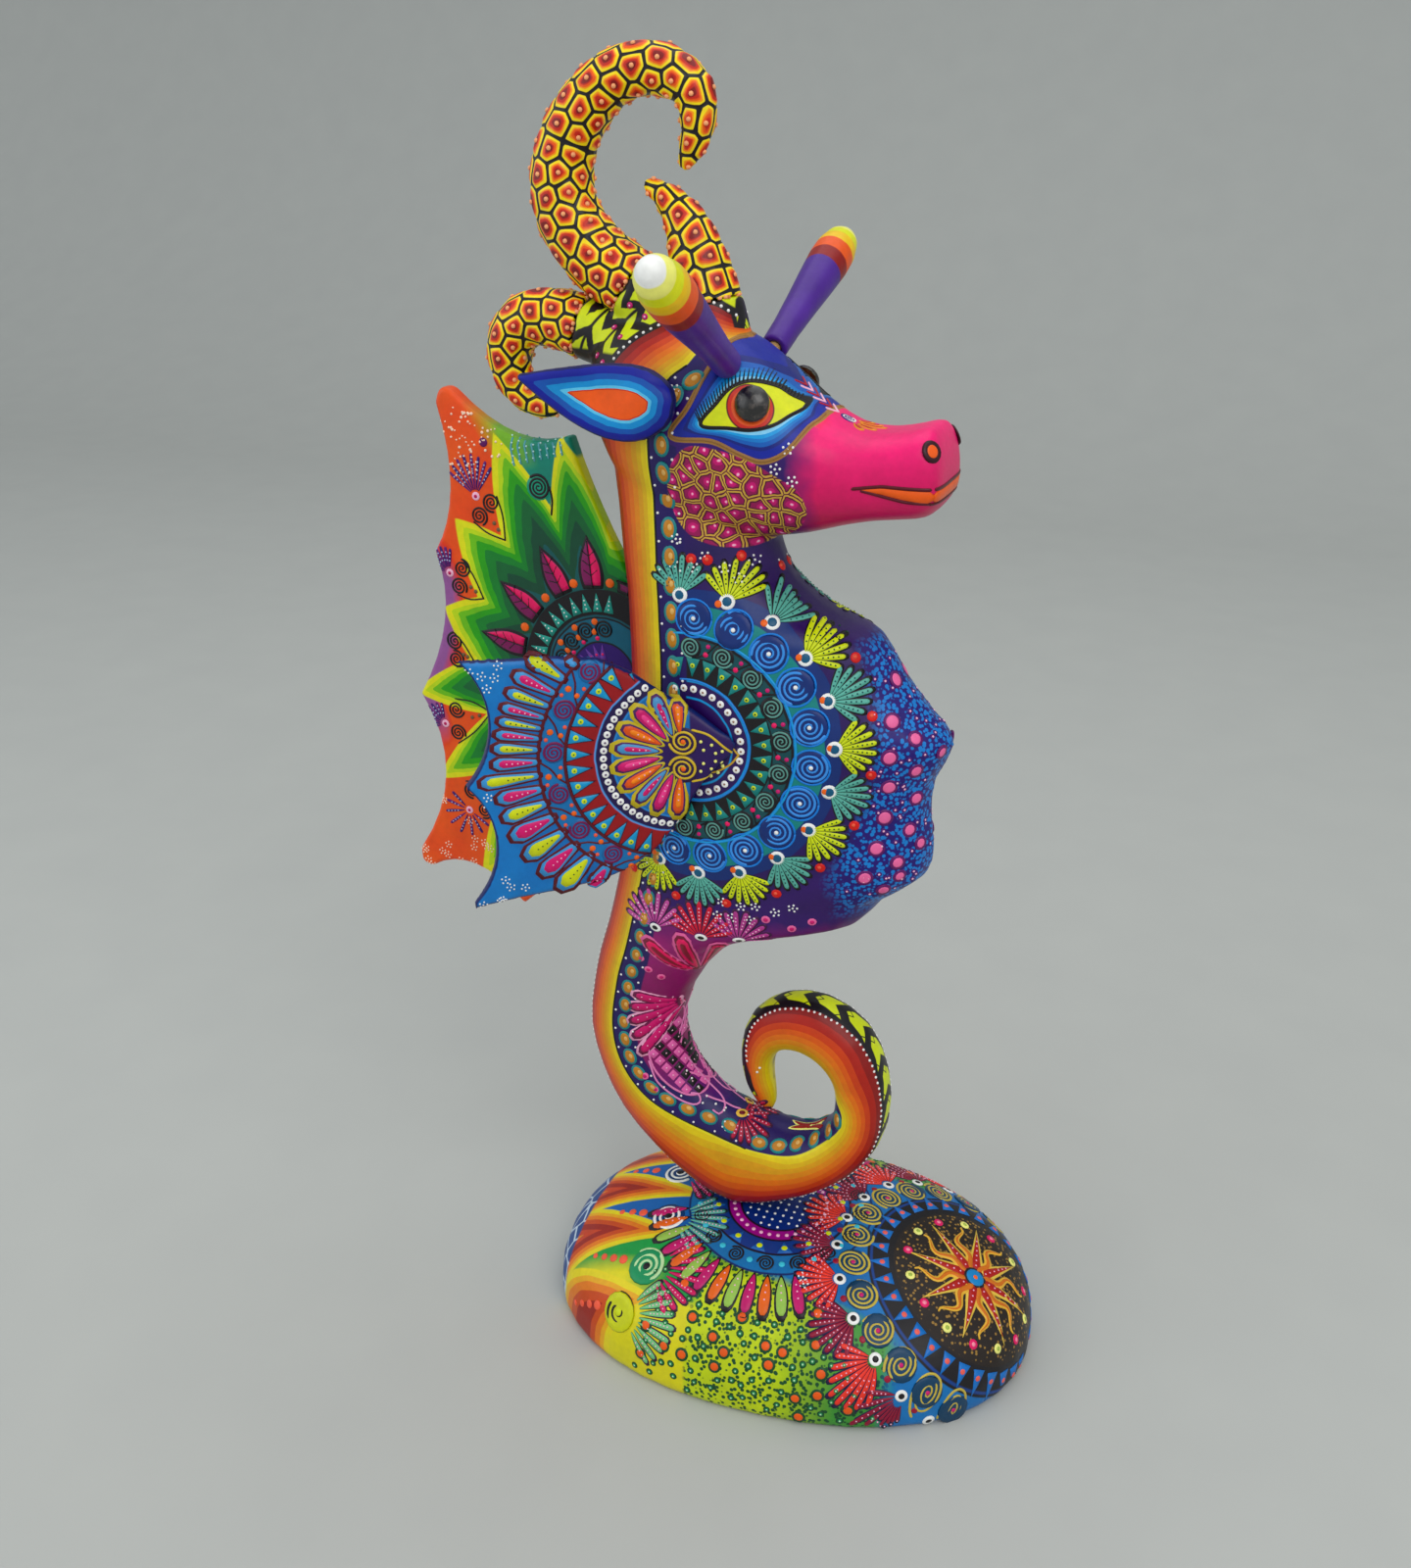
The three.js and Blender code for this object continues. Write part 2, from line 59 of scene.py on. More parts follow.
# camera, floor and light
view = {"place": (0.157, -0.5, 0.5), "tilt": 66, "turn": 22, "lens": 32.49}
camera = bpy.data.objects.new("camera", bpy.data.cameras.new("camera"))
camera.location = view["place"]
camera.rotation_euler = (math.radians(view["tilt"]), 0, math.radians(view["turn"]))
camera.data.lens = view["lens"]
camera.data.sensor_width = 36
camera.data.clip_start = 0.01
bpy.context.collection.objects.link(camera)
bpy.context.scene.camera = camera
bpy.context.scene.view_settings.view_transform = "Standard"


# node building
class Wire:
    # a socket that adds, multiplies and compares by making Math nodes
    def __init__(self, shader, socket):
        self.shader = shader
        self.socket = socket

    def do(self, operation, *others):
        node = self.shader.tree.nodes.new("ShaderNodeMath")
        node.operation = operation
        for slot, value in zip(node.inputs, (self,) + others):
            self.shader.feed(slot, value)
        return Wire(self.shader, node.outputs[0])

    def __add__(self, other):
        return self.do("ADD", other)

    __radd__ = __add__

    def __mul__(self, other):
        return self.do("MULTIPLY", other)

    __rmul__ = __mul__

    def __sub__(self, other):
        return self.do("SUBTRACT", other)

    def __rsub__(self, other):
        return self.do("MULTIPLY", -1).do("ADD", other)

    def __truediv__(self, other):
        return self.do("DIVIDE", other)

    def __pow__(self, other):
        return self.do("POWER", other)

    def __abs__(self):
        return self.do("ABSOLUTE")

    def least(self, other):
        return self.do("MINIMUM", other)

    def most(self, other):
        return self.do("MAXIMUM", other)

    def turned(self):
        return 1 - self

    def above(self, limit, soft=0.15):
        # 0 below the limit, 1 above it, with a soft step of the given width
        return ((self - limit) / soft + 0.5).clamped()

    def below(self, limit, soft=0.15):
        return self.above(limit, soft).turned()

    def clamped(self):
        return self.most(0).least(1)

    def within(self, a, b, soft=0.15):
        return self.above(a, soft) * self.below(b, soft)


class Shader:
    def __init__(self, name, roughness=0.42, coat=0.25):
        self.material = bpy.data.materials.new(name)
        self.material.use_nodes = True
        self.tree = self.material.node_tree
        self.surface = self.tree.nodes["Principled BSDF"]
        self.surface.inputs["Roughness"].default_value = roughness
        self.surface.inputs["Coat Weight"].default_value = coat
        self.surface.inputs["Coat Roughness"].default_value = 0.3
        self.surface.inputs["Specular IOR Level"].default_value = 0.3
        self.coords = self.node("ShaderNodeTexCoord").outputs["Object"]
        split = self.node("ShaderNodeSeparateXYZ", Vector=self.coords)
        x, y, z = (Wire(self, out) * 1000 for out in split.outputs)
        self.x, self.y, self.z = x - forward, y, z

    def feed(self, slot, value):
        if isinstance(value, Wire):
            value = value.socket
        if isinstance(value, bpy.types.NodeSocket):
            self.tree.links.new(value, slot)
        elif slot.type == "RGBA" and len(value) == 3:
            slot.default_value = (*value, 1)
        else:
            slot.default_value = value

    def node(self, kind, settings=None, **inputs):
        node = self.tree.nodes.new(kind)
        for key, value in (settings or {}).items():
            setattr(node, key, value)
        for key, value in inputs.items():
            self.feed(node.inputs[key.replace("_", " ")], value)
        return node

    def attribute(self, name):
        node = self.node("ShaderNodeAttribute", {"attribute_name": name})
        return Wire(self, node.outputs["Fac"])

    def colourAttribute(self, name):
        return self.node("ShaderNodeAttribute", {"attribute_name": name}).outputs["Color"]

    def point(self, x, y, z=0.0):
        return self.node("ShaderNodeCombineXYZ", X=x, Y=y, Z=z).outputs[0]

    def noise(self, size, detail=2.0, at=None):
        where = at if at is not None else self.coords
        scale = 1000 / size if at is None else 1 / size
        node = self.node("ShaderNodeTexNoise", Vector=where, Scale=scale, Detail=detail)
        return Wire(self, node.outputs["Fac"])

    def cells(self, size, at, feature="F1", jitter=1.0, flat=True):
        settings = {"voronoi_dimensions": "2D" if flat else "3D", "feature": feature}
        node = self.node("ShaderNodeTexVoronoi", settings, Vector=at, Scale=1 / size, Randomness=jitter)
        return node

    def mix(self, under, over, share, blend="MIX"):
        node = self.node("ShaderNodeMix", {"data_type": "RGBA", "blend_type": blend})
        self.feed(node.inputs[0], share)
        self.feed(node.inputs[6], under)
        self.feed(node.inputs[7], over)
        return node.outputs[2]

    def ramp(self, value, stops, steps=True):
        node = self.node("ShaderNodeValToRGB", Fac=value)
        scale = node.color_ramp
        scale.interpolation = "CONSTANT" if steps else "LINEAR"
        while len(scale.elements) < len(stops):
            scale.elements.new(0.5)
        for element, (place, colour) in zip(scale.elements, stops):
            element.position = place
            element.color = (*colour, 1)
        return node.outputs[0]

    def streaked(self, colour, strength=0.22, size=2.2):
        # uneven hand-laid paint: cloudy value changes and fine grain
        cloud = self.noise(size * 6, 3) - 0.5
        grain = self.noise(size, 4) - 0.5
        value = cloud * strength * 1.6 + grain * strength + 1
        node = self.node("ShaderNodeHueSaturation", Color=colour, Saturation=1.08, Value=value)
        return node.outputs[0]

    def finish(self, colour, relief=None, depth=0.00012, rough=(0.34, 0.5)):
        self.feed(self.surface.inputs["Base Color"], self.streaked(colour))
        grain = self.noise(1.4, 3)
        self.feed(self.surface.inputs["Roughness"], grain * (rough[1] - rough[0]) + rough[0])
        height = grain * 0.35 + self.noise(7, 2) * 0.9
        if relief is not None:
            height = height + relief
        bump = self.node("ShaderNodeBump", Strength=0.55, Distance=depth, Height=height)
        self.feed(self.surface.inputs["Normal"], bump.outputs[0])
        return self.material


def linear(*rgb):
    # a colour as seen, 0-255, to scene values
    return tuple((v / 255 / 12.92) if v <= 10 else ((v / 255 + 0.055) / 1.055) ** 2.4 for v in rgb)


tint = {name: linear(*seen) for name, seen in {
    "black": (14, 10, 16), "white": (240, 240, 236), "navy": (16, 22, 66), "purple": (62, 30, 112),
    "deepPurple": (42, 20, 84), "violet": (96, 60, 160), "magenta": (160, 24, 110), "hotPink": (232, 44, 104),
    "pink": (238, 120, 168), "palePink": (246, 190, 214), "rose": (206, 60, 120), "red": (214, 44, 40),
    "darkRed": (134, 16, 12), "maroon": (88, 12, 28), "orange": (240, 104, 36), "amber": (226, 140, 20),
    "gold": (206, 166, 72), "ochre": (160, 118, 62), "yellow": (236, 212, 46), "lime": (206, 220, 44),
    "paleYellow": (240, 238, 140), "green": (30, 136, 46), "darkGreen": (8, 74, 34), "leaf": (104, 184, 44),
    "teal": (30, 128, 124), "darkTeal": (14, 72, 78), "sea": (96, 172, 156), "blue": (28, 104, 186),
    "royal": (14, 34, 150), "mid": (16, 90, 178), "sky": (54, 156, 220), "pale": (140, 206, 238),
    "deepBlue": (16, 44, 110), "coral": (240, 110, 90), "wood": (196, 160, 112),
}.items()}


# geometry helpers
def meshObject(name, mesh, body, *nodes):
    piece = bpy.data.objects.new(name, mesh)
    bpy.context.collection.objects.link(piece)
    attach(piece, body)
    if nodes:
        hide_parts(*nodes)
    return piece


def softened(node, voxel, rounds, body, name=None):
    # the CAD solid again as a fine even mesh with its facets carved away
    form = bmesh.new()
    form.from_mesh(bpy.data.objects[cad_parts[node].name].data)
    bmesh.ops.remove_doubles(form, verts=form.verts, dist=1e-6)
    rough = bpy.data.meshes.new("rough")
    form.to_mesh(rough)
    form.free()
    holder = bpy.data.objects.new("holder", rough)
    bpy.context.collection.objects.link(holder)
    remesh = holder.modifiers.new("remesh", "REMESH")
    remesh.mode = "VOXEL"
    remesh.voxel_size = voxel * mm
    smooth = holder.modifiers.new("smooth", "SMOOTH")
    smooth.factor = 0.5
    smooth.iterations = rounds
    ready = holder.evaluated_get(bpy.context.evaluated_depsgraph_get())
    mesh = bpy.data.meshes.new_from_object(ready)
    bpy.data.objects.remove(holder)
    mesh.name = name or node + "_carved"
    mesh.polygons.foreach_set("use_smooth", [True] * len(mesh.polygons))
    return meshObject(mesh.name, mesh, body, node)


def pointsOf(piece):
    # vertices in the figure's own millimetres
    co = np.empty(len(piece.data.vertices) * 3)
    piece.data.vertices.foreach_get("co", co)
    return co.reshape(-1, 3) * 1000 - np.array([forward, 0, 0])


def setPoints(piece, points):
    co = (points + np.array([forward, 0, 0])) * mm
    piece.data.vertices.foreach_set("co", co.ravel())
    piece.data.update()


def normalsOf(piece):
    normals = np.empty(len(piece.data.vertices) * 3)
    piece.data.vertices.foreach_get("normal", normals)
    return normals.reshape(-1, 3)


def store(piece, name, values):
    layer = piece.data.attributes.new(name, "FLOAT", "POINT")
    layer.data.foreach_set("value", np.asarray(values, dtype=np.float32))


def smoothLine(points, steps=8, closed=False):
    # even curve through a few points
    pts = np.array(points, float)
    if closed:
        pts = np.vstack([pts[-1], pts, pts[0], pts[1]])
    else:
        pts = np.vstack([2 * pts[0] - pts[1], pts, 2 * pts[-1] - pts[-2]])
    line = []
    for a, b, c, d in zip(pts, pts[1:], pts[2:], pts[3:]):
        for t in np.arange(steps) / steps:
            line.append(0.5 * (2 * b + (c - a) * t + (2 * a - 5 * b + 4 * c - d) * t ** 2
                               + (3 * b - a - 3 * c + d) * t ** 3))
    line.append(pts[-2])
    return np.array(line)


def distanceTo(line, places):
    # distance, side (positive on the left of the line's run) and run along the line
    best = np.full(len(places), 1e9)
    side = np.zeros(len(places))
    along = np.zeros(len(places))
    run = 0.0
    for a, b in zip(line, line[1:]):
        step = b - a
        length = max(math.hypot(*step), 1e-9)
        to = places - a
        share = np.clip(to @ step / length ** 2, 0, 1)
        away = to - share[:, None] * step
        gapHere = np.hypot(away[:, 0], away[:, 1])
        nearer = gapHere < best
        best[nearer] = gapHere[nearer]
        side[nearer] = np.sign(step[0] * to[nearer, 1] - step[1] * to[nearer, 0])
        along[nearer] = run + share[nearer] * length
        run += length
    return best, side, along


def insideOf(outline, places):
    # signed distance to a closed outline, positive inside
    ring = np.vstack([outline, outline[:1]])
    inside = np.zeros(len(places), bool)
    for (x1, z1), (x2, z2) in zip(ring, ring[1:]):
        if z1 == z2:
            continue
        crosses = ((z1 > places[:, 1]) != (z2 > places[:, 1])) & (places[:, 0] < (x2 - x1)
                * (places[:, 1] - z1) / (z2 - z1) + x1)
        inside ^= crosses
    away = distanceTo(ring, places)[0]
    return np.where(inside, away, -away)


def resampled(path, step):
    path = np.array(path, float)
    pieces = np.hypot(*np.diff(path, axis=0).T)
    run = np.concatenate([[0], np.cumsum(pieces)])
    count = max(2, int(run[-1] / step) + 1)
    at = np.linspace(0, run[-1], count)
    return np.stack([np.interp(at, run, path[:, k]) for k in range(2)], 1), at / max(run[-1], 1e-9)


class Frame:
    # a flat drawing board in front of a surface; drawings are thrown back along its normal
    def __init__(self, origin, normal, up=(0, 0, 1), flip=False):
        self.origin = inRow(*origin)
        self.normal = Vector(normal).normalized()
        self.right = Vector(up).cross(self.normal).normalized()
        self.up = self.normal.cross(self.right)
        if flip:
            self.right = -self.right

    def flatten(self, place):
        away = place - self.origin
        return away.dot(self.right) / mm, away.dot(self.up) / mm


class Brush:
    def __init__(self, name, target, body, frames, reach=60):
        self.name = name
        self.target = target
        self.body = body
        self.frames = frames
        self.reach = reach
        self.tree = BVHTree.FromPolygons([v.co for v in target.data.vertices],
                                         [p.vertices for p in target.data.polygons])
        self.verts = []
        self.faces = []
        self.paint = []

    def land(self, board, x, z):
        start = board.origin + board.right * (x * mm) + board.up * (z * mm) + board.normal * (self.reach * mm)
        place, normal, _face, _gap = self.tree.ray_cast(start, -board.normal, self.reach * 2.2 * mm)
        if place is None or normal.dot(board.normal) < 0.12:
            return None
        return place, normal

    def stroke(self, path, width, colour, lift=0.28, step=1.5, ends=True):
        # width is the full width at each share of the path, a number or a function
        flat, share = resampled(path, step)
        wide = width if callable(width) else (lambda s: width)
        for board in self.frames:
            run = []
            for (x, z), s in zip(flat, share):
                hit = self.land(board, x, z)
                if hit is None:
                    self.ribbon(run, colour, lift, ends)
                    run = []
                else:
                    run.append((*hit, wide(s) * 0.5 * mm))
            self.ribbon(run, colour, lift, ends)

    def ribbon(self, run, colour, lift, ends=True):
        if len(run) < 2:
            return
        first, last = run[0], run[-1]
        head = (first[0] - run[1][0]).normalized()
        tail = (last[0] - run[-2][0]).normalized()
        if ends:
            run = [(first[0] + head * first[2] * 0.8, first[1],
                    first[2] * 0.45)] + run + [(last[0] + tail * last[2] * 0.8, last[1], last[2] * 0.45)]
        high, sunk = lift * mm, 0.25 * mm
        start = len(self.verts)
        for i, (place, normal, r) in enumerate(run):
            ahead = (run[min(i + 1, len(run) - 1)][0] - run[max(i - 1, 0)][0]).normalized()
            side = normal.cross(ahead).normalized() * max(r, 0.00004)
            self.verts += [place - side - normal * sunk, place - side * 0.82 + normal * high * 0.7,
                           place + normal * high,
                           place + side * 0.82 + normal * high * 0.7, place + side - normal * sunk]
        for i in range(len(run) - 1):
            a = start + i * 5
            for k in range(5):
                b = (k + 1) % 5
                self.faces.append((a + k, a + 5 + k, a + 5 + b, a + b))
        self.faces.append(tuple(start + k for k in range(5)))
        self.faces.append(tuple(start + (len(run) - 1) * 5 + k for k in reversed(range(5))))
        self.paint += [colour] * (len(run) * 5)

    def dot(self, x, z, radius, colour, lift=0.35, squash=1.0, turn=0.0):
        sides = 7 if radius < 0.8 else 10 if radius < 2.4 else 16
        for board in self.frames:
            hit = self.land(board, x, z)
            if hit is not None:
                self.dome(board, hit, radius, colour, lift, sides, squash, turn)

    def dome(self, board, hit, radius, colour, lift, sides, squash, turn):
        place, normal = hit
        right = (board.right - normal * board.right.dot(normal)).normalized()
        up = (board.up - normal * board.up.dot(normal) - right * board.up.dot(right)).normalized()
        start = len(self.verts)
        rings = ((1.0, -0.5), (0.94, lift * 0.45), (0.66, lift * 0.85)) if radius > 1.2 else ((1.0, -0.4),
                (0.82, lift * 0.7))
        for share, height in rings:
            for k in range(sides):
                angle = 2 * pi * k / sides
                a, b = math.cos(angle) * radius * share, math.sin(angle) * radius * share * squash
                x, z = a * math.cos(turn) - b * math.sin(turn), a * math.sin(turn) + b * math.cos(turn)
                self.verts.append(place + right * x * mm + up * z * mm + normal * height * mm)
        self.verts.append(place + normal * lift * mm)
        order = 1 if right.cross(up).dot(normal) > 0 else -1
        for r in range(len(rings) - 1):
            for k in range(sides):
                a, b = start + r * sides + k, start + r * sides + (k + 1) % sides
                self.faces.append((a, b, b + sides, a + sides)[::order])
        top = start + (len(rings) - 1) * sides
        for k in range(sides):
            self.faces.append((top + k, top + (k + 1) % sides, len(self.verts) - 1)[::order])
        self.faces.append(tuple(start + k for k in range(sides))[::-order])
        self.paint += [colour] * (sides * len(rings) + 1)

    def ring(self, x, z, radius, width, colour, lift=0.3, span=(0, 360)):
        a, b = (math.radians(v) for v in span)
        count = max(8, int(radius * abs(b - a)))
        angles = np.linspace(a, b, count)
        path = np.stack([x + radius * np.cos(angles), z + radius * np.sin(angles)], 1)
        self.stroke(path, width, colour, lift, min(1.5, max(0.5, radius * 0.4)), False)

    def spiral(self, x, z, radius, colour, turns=3.0, start=0.0, width=0.9, way=1, lift=0.34):
        angles = np.linspace(0, turns * 2 * pi, int(turns * 22))
        grow = radius * (0.1 + 0.9 * angles / angles[-1])
        path = np.stack([x + grow * np.cos(start + way * angles), z + grow * np.sin(start + way * angles)], 1)
        self.stroke(path, lambda s: width * (0.75 + 0.35 * s), colour, lift, min(1.1, radius * 0.2))

    def petal(self, x, z, angle, near, far, width, colour, lift=0.3, blunt=0.62):
        # a drop that starts as a point near the centre and ends round
        ends = np.array([[x + r * math.cos(angle), z + r * math.sin(angle)] for r in (near, far)])
        self.stroke(ends, lambda s: width * (0.12 + 0.88 * math.sin(pi * min(1, s * blunt + 0.02)) ** 0.8),
                    colour, lift, max(0.9, (far - near) / 7))

    def wedge(self, x, z, angle, near, far, width, colour, lift=0.28):
        ends = np.array([[x + r * math.cos(angle), z + r * math.sin(angle)] for r in (near, far)])
        self.stroke(ends, lambda s: width * (1 - s) + 0.15, colour, lift, (far - near) / 4, False)

    def cluster(self, x, z, colour, spread=2.0, size=0.62, turn=0.0):
        self.dot(x, z, size, colour)
        for k in range(5):
            angle = turn + k * 2 * pi / 5
            self.dot(x + spread * math.cos(angle), z + spread * math.sin(angle), size, colour)

    def fan(self, x, z, angle, spread, count, near, far, width, colours, seam=None, beads=None):
        for k in range(count):
            share = (k - (count - 1) / 2) / max(count - 1, 1)
            at = angle + share * spread
            length = far * (1 - 0.35 * abs(share))
            if seam:
                self.petal(x, z, at, near, length + 0.7, width + 1.3, seam, 0.16)
            self.petal(x, z, at, near, length, width, colours[k % len(colours)], 0.32)
            if beads:
                for r in np.arange(near + (length - near) * 0.35, length - 0.6, 1.7):
                    self.dot(x + r * math.cos(at), z + r * math.sin(at), 0.42, beads, 0.55)

    def speck(self, spot, radius, colour, lift=0.5):
        # a bead at the surface point nearest to a spot of the figure
        place, normal, _face, _gap = self.tree.find_nearest(inRow(*spot))
        self.dome(self.frames[0], (place, normal), radius, colour, lift, 8, 1.0, 0.0)

    def done(self, material):
        mesh = bpy.data.meshes.new(self.name)
        mesh.from_pydata(self.verts, [], self.faces)
        mesh.update()
        layer = mesh.color_attributes.new("paint", "FLOAT_COLOR", "POINT")
        layer.data.foreach_set("color", np.array([(*c, 1) for c in self.paint], np.float32).ravel())
        mesh.polygons.foreach_set("use_smooth", [True] * len(mesh.polygons))
        piece = meshObject(self.name, mesh, self.body)
        mesh.materials.append(material)
        print("brushwork", self.name, len(mesh.polygons), "faces")
        return piece


brushShader = Shader("brushed_enamel", 0.4, 0.1)
brushPaint = brushShader.finish(brushShader.colourAttribute("paint"), None, 0.00006, (0.32, 0.46))


def flankBoards(origin=(0, 0, 0)):
    x, _y, z = origin
    return [Frame((x, 0, z), (0, -1, 0)), Frame((x, 0, z), (0, 1, 0), flip=True)]


# the carved body
carving = {"voxel": 1.31, "rounds": 10, "stripHalf": 7.5, "laneWidth": 11.5, "mandala": (-47, 292)}
outerRun = [(-28, 440), (-37, 446), (-46, 452), (-55, 449), (-63, 445), (-72, 440), (-80, 432), (-86, 420),
            (-89, 400), (-86.5, 380),
            (-84, 360), (-82, 336), (-81.5, 294), (-83.5, 262), (-87.5, 230), (-93.5, 203), (-102, 174),
            (-106, 156), (-108.5, 134),
            (-103.5, 112), (-93.5, 91), (-77.5, 73), (-58, 58), (-37, 50.5), (-13, 58.5), (9, 72.5),
            (25, 89.5), (33, 110), (32, 135),
            (22, 157), (3, 168), (-16, 166), (-29.5, 155), (-35, 137), (-33, 118), (-27, 107), (-23, 103)]
innerRun = [(-24, 431), (-32, 438), (-39, 439), (-46, 437), (-50, 432), (-56, 427), (-61, 418), (-63, 408),
            (-63, 387), (-62, 365),
            (-61, 340), (-60, 311), (-62, 270), (-70, 232), (-80, 191), (-87, 168), (-91, 142), (-87, 122),
            (-75, 107), (-56, 98),
            (-28, 90), (-5, 92), (12, 107), (16, 119), (9, 127), (1.5, 138), (-7, 141), (-15, 139.5),
            (-19.5, 133), (-20, 124),
            (-18.5, 115), (-18.5, 107), (-19, 103)]
outer, inner = smoothLine(outerRun), smoothLine(innerRun)
almond = smoothLine([(-42, 413), (-37, 420), (-32.5, 425.5), (-27, 427.3), (-20, 425.6), (-14.6, 422.3),
                     (-9.4, 419), (-12.5, 416.7), (-17, 413.8), (-24, 412.2), (-32, 412.6)], 5, True)
diamond = smoothLine([(-53.5, 408.3), (-47, 418.5), (-41.5, 431), (-37, 440), (-26, 436), (-15.5, 427),
        (-4, 416.8), (-6, 413), (-12, 405), (-19.5, 401.7), (-27.5, 403.9), (-38, 407.9)], 5, True)
cheek = smoothLine([(-55, 396), (-48, 404.6), (-38, 405), (-25.5, 402), (-15.5, 396.8), (-6.7, 391),
                    (-4.6, 382), (-12, 374), (-25, 367.5), (-37, 367.5), (-49, 372), (-56, 383)], 5, True)

body = softened("body", carving["voxel"], carving["rounds"], "figure", "body_carved")
points = pointsOf(body)
flat = points[:, [0, 2]]
inTrunk = flat[:, 1] > 178
toOuter, outerSide, along = distanceTo(outer, flat)
trunkIn, trunkSide, _run = distanceTo(inner[:128], flat)
tailIn, tailSide, _run = distanceTo(inner[104:], flat)
underTip = (flat[:, 1] < 103.5) & (flat[:, 0] < 8)
tailIn[underTip], tailSide[underTip], _run = distanceTo(inner[104:184], flat[underTip])
toInner, innerSide = np.where(inTrunk, trunkIn, tailIn), np.where(inTrunk, trunkSide, tailSide)
beyond = np.where(innerSide > 0, toInner, -toInner)       # mm from the band's inner edge, positive on the flank
share = np.where(beyond > 0, 1 + beyond * 0.01, toOuter / (toOuter + toInner + 1e-6))
above = np.where((outerSide < 0) & (flat[:, 1] > 425), -toOuter, toOuter)
for name, values in (("share", share), ("beyond", beyond), ("along", along), ("above", above),
                     ("almond", insideOf(almond, flat)), ("diamond", insideOf(diamond, flat)),
                     ("cheek", insideOf(cheek, flat))):
    store(body, name, values)
print("body", len(points), "points")

skin = Shader("painted_body_skin", 0.4, 0.12)
x, y, z = skin.x, skin.y, skin.z
share, beyond, along, above = (skin.attribute(n) for n in ("share", "beyond", "along", "above"))
wobble = skin.noise(9, 2) - 0.5
sideways = abs(y)
cx, cz = carving["mandala"]
radius = ((x - cx) ** 2 + (z - cz) ** 2) ** 0.5 + wobble * 1.2

paint = skin.mix(tint["deepPurple"], tint["purple"], skin.noise(30, 2))
paint = skin.mix(paint, tint["navy"], z.within(330, 372, 14) * x.below(-30, 20) * 0.6)
# magenta lower trunk
paint = skin.mix(paint, tint["magenta"], z.below(206 + wobble * 14, 22) * z.above(118, 26) * 0.85)
paint = skin.mix(paint, tint["maroon"], z.below(176 + wobble * 20, 30) * z.above(124, 20) * 0.35)
# stippled belly
bellyEdge = x + wobble * 10 - (z - 300) * 0.05
belly = bellyEdge.above(15, 9) * z.within(222, 352, 10)
stipple = Wire(skin, skin.cells(1.7, skin.point(x, y, z), flat=False).outputs["Distance"])
paint = skin.mix(paint, skin.mix(linear(40, 26, 110), linear(44, 126, 204), stipple.below(0.5, 0.1)), belly)
# rings of the flank's great roundel
disc = [(72, tint["deepPurple"]), (60, tint["deepBlue"]), (54, tint["teal"]), (43.2, tint["sky"]),
        (42.2, tint["black"]), (41, tint["darkTeal"]),
        (34.2, tint["black"]), (25.4, tint["sky"]), (24.2, tint["deepPurple"]), (18.4, tint["sky"]),
        (17.6, tint["deepPurple"])]
for limit, colour in disc:
    soft = 6 if limit == 72 else 0.4
    paint = skin.mix(paint, colour, radius.below(limit, soft) * x.above(-68, 0.5))
# lane of ovals and the striped band
paint = skin.mix(paint, linear(36, 24, 88), beyond.within(-0.5, carving["laneWidth"], 0.6)
                 * skin.attribute("diamond").below(-3))
stripes = skin.ramp(share + (skin.noise(14, 2) - 0.5) * 0.03, [
    (0.0, tint["black"]), (0.05, tint["darkRed"]), (0.17, linear(170, 28, 12)), (0.29, linear(200, 60, 14)),
    (0.4, linear(216, 88, 14)),
    (0.5, linear(222, 110, 14)), (0.6, linear(220, 132, 16)), (0.7, linear(214, 152, 22)),
    (0.79, linear(214, 172, 28)),
    (0.87, linear(222, 196, 36)), (0.955, linear(226, 214, 70))])
band = beyond.below(0, 0.35)
paint = skin.mix(paint, stripes, band)
# black spine with lime arrows
clearOfTip = (x + 23).do("ABSOLUTE").above(13, 1).most(z.above(113, 1)).most(z.below(92, 1))
spine = (sideways.below(carving["stripHalf"], 0.5) * share.below(0.42, 0.02)
         * clearOfTip).most(above.below(0.6, 0.5) * band)
phase = ((along + sideways * 0.9) / 15).do("FRACT")
arrows = phase.within(0.12, 0.74, 0.03) * (sideways + phase * 3.5).below(6.2, 0.4)
crownRow = (above.do("ABSOLUTE") / 8.5).do("FRACT")
crownPhase = ((along + (crownRow - 0.5).do("ABSOLUTE") * 9) / 8.5).do("FRACT")
crownArrows = crownPhase.within(0.14, 0.7, 0.05) * crownRow.within(0.07, 0.93, 0.05) * above.below(-1.6, 0.4)
limeHere = (arrows * above.above(0, 0.3)).most(crownArrows * z.above(434, 1))
veins = ((along - sideways * 1.4) / 15).do("FRACT").within(0.46, 0.52, 0.02) * above.above(0, 0.3)
paint = skin.mix(paint, skin.mix(tint["black"], tint["lime"], limeHere * veins.turned()), spine)
# head: snout, cheek cells, eye
snout = (x + wobble * 9).above(-6, 11) * z.above(360, 2)
snoutPaint = skin.mix(linear(196, 24, 84), linear(250, 62, 128), ((z - 382) / 34).clamped())
paint = skin.mix(paint, snoutPaint, snout)
cheekField = skin.attribute("cheek")
cellPlace = skin.point(x + (skin.noise(5) - 0.5) * 2.5, z + (skin.noise(6.5) - 0.5) * 2.5)
cheekEdge = Wire(skin, skin.cells(6.2, cellPlace, "DISTANCE_TO_EDGE", 0.7).outputs["Distance"])
cheekCore = Wire(skin, skin.cells(6.2, cellPlace, "F1", 0.7).outputs["Distance"])
cells = skin.mix(linear(150, 20, 84), linear(206, 168, 80), cheekEdge.within(0.035, 0.13, 0.03))
cells = skin.mix(cells, linear(70, 6, 40), cheekEdge.within(0.135, 0.2,
                                                            0.03).most(cheekEdge.below(0.028, 0.02)))
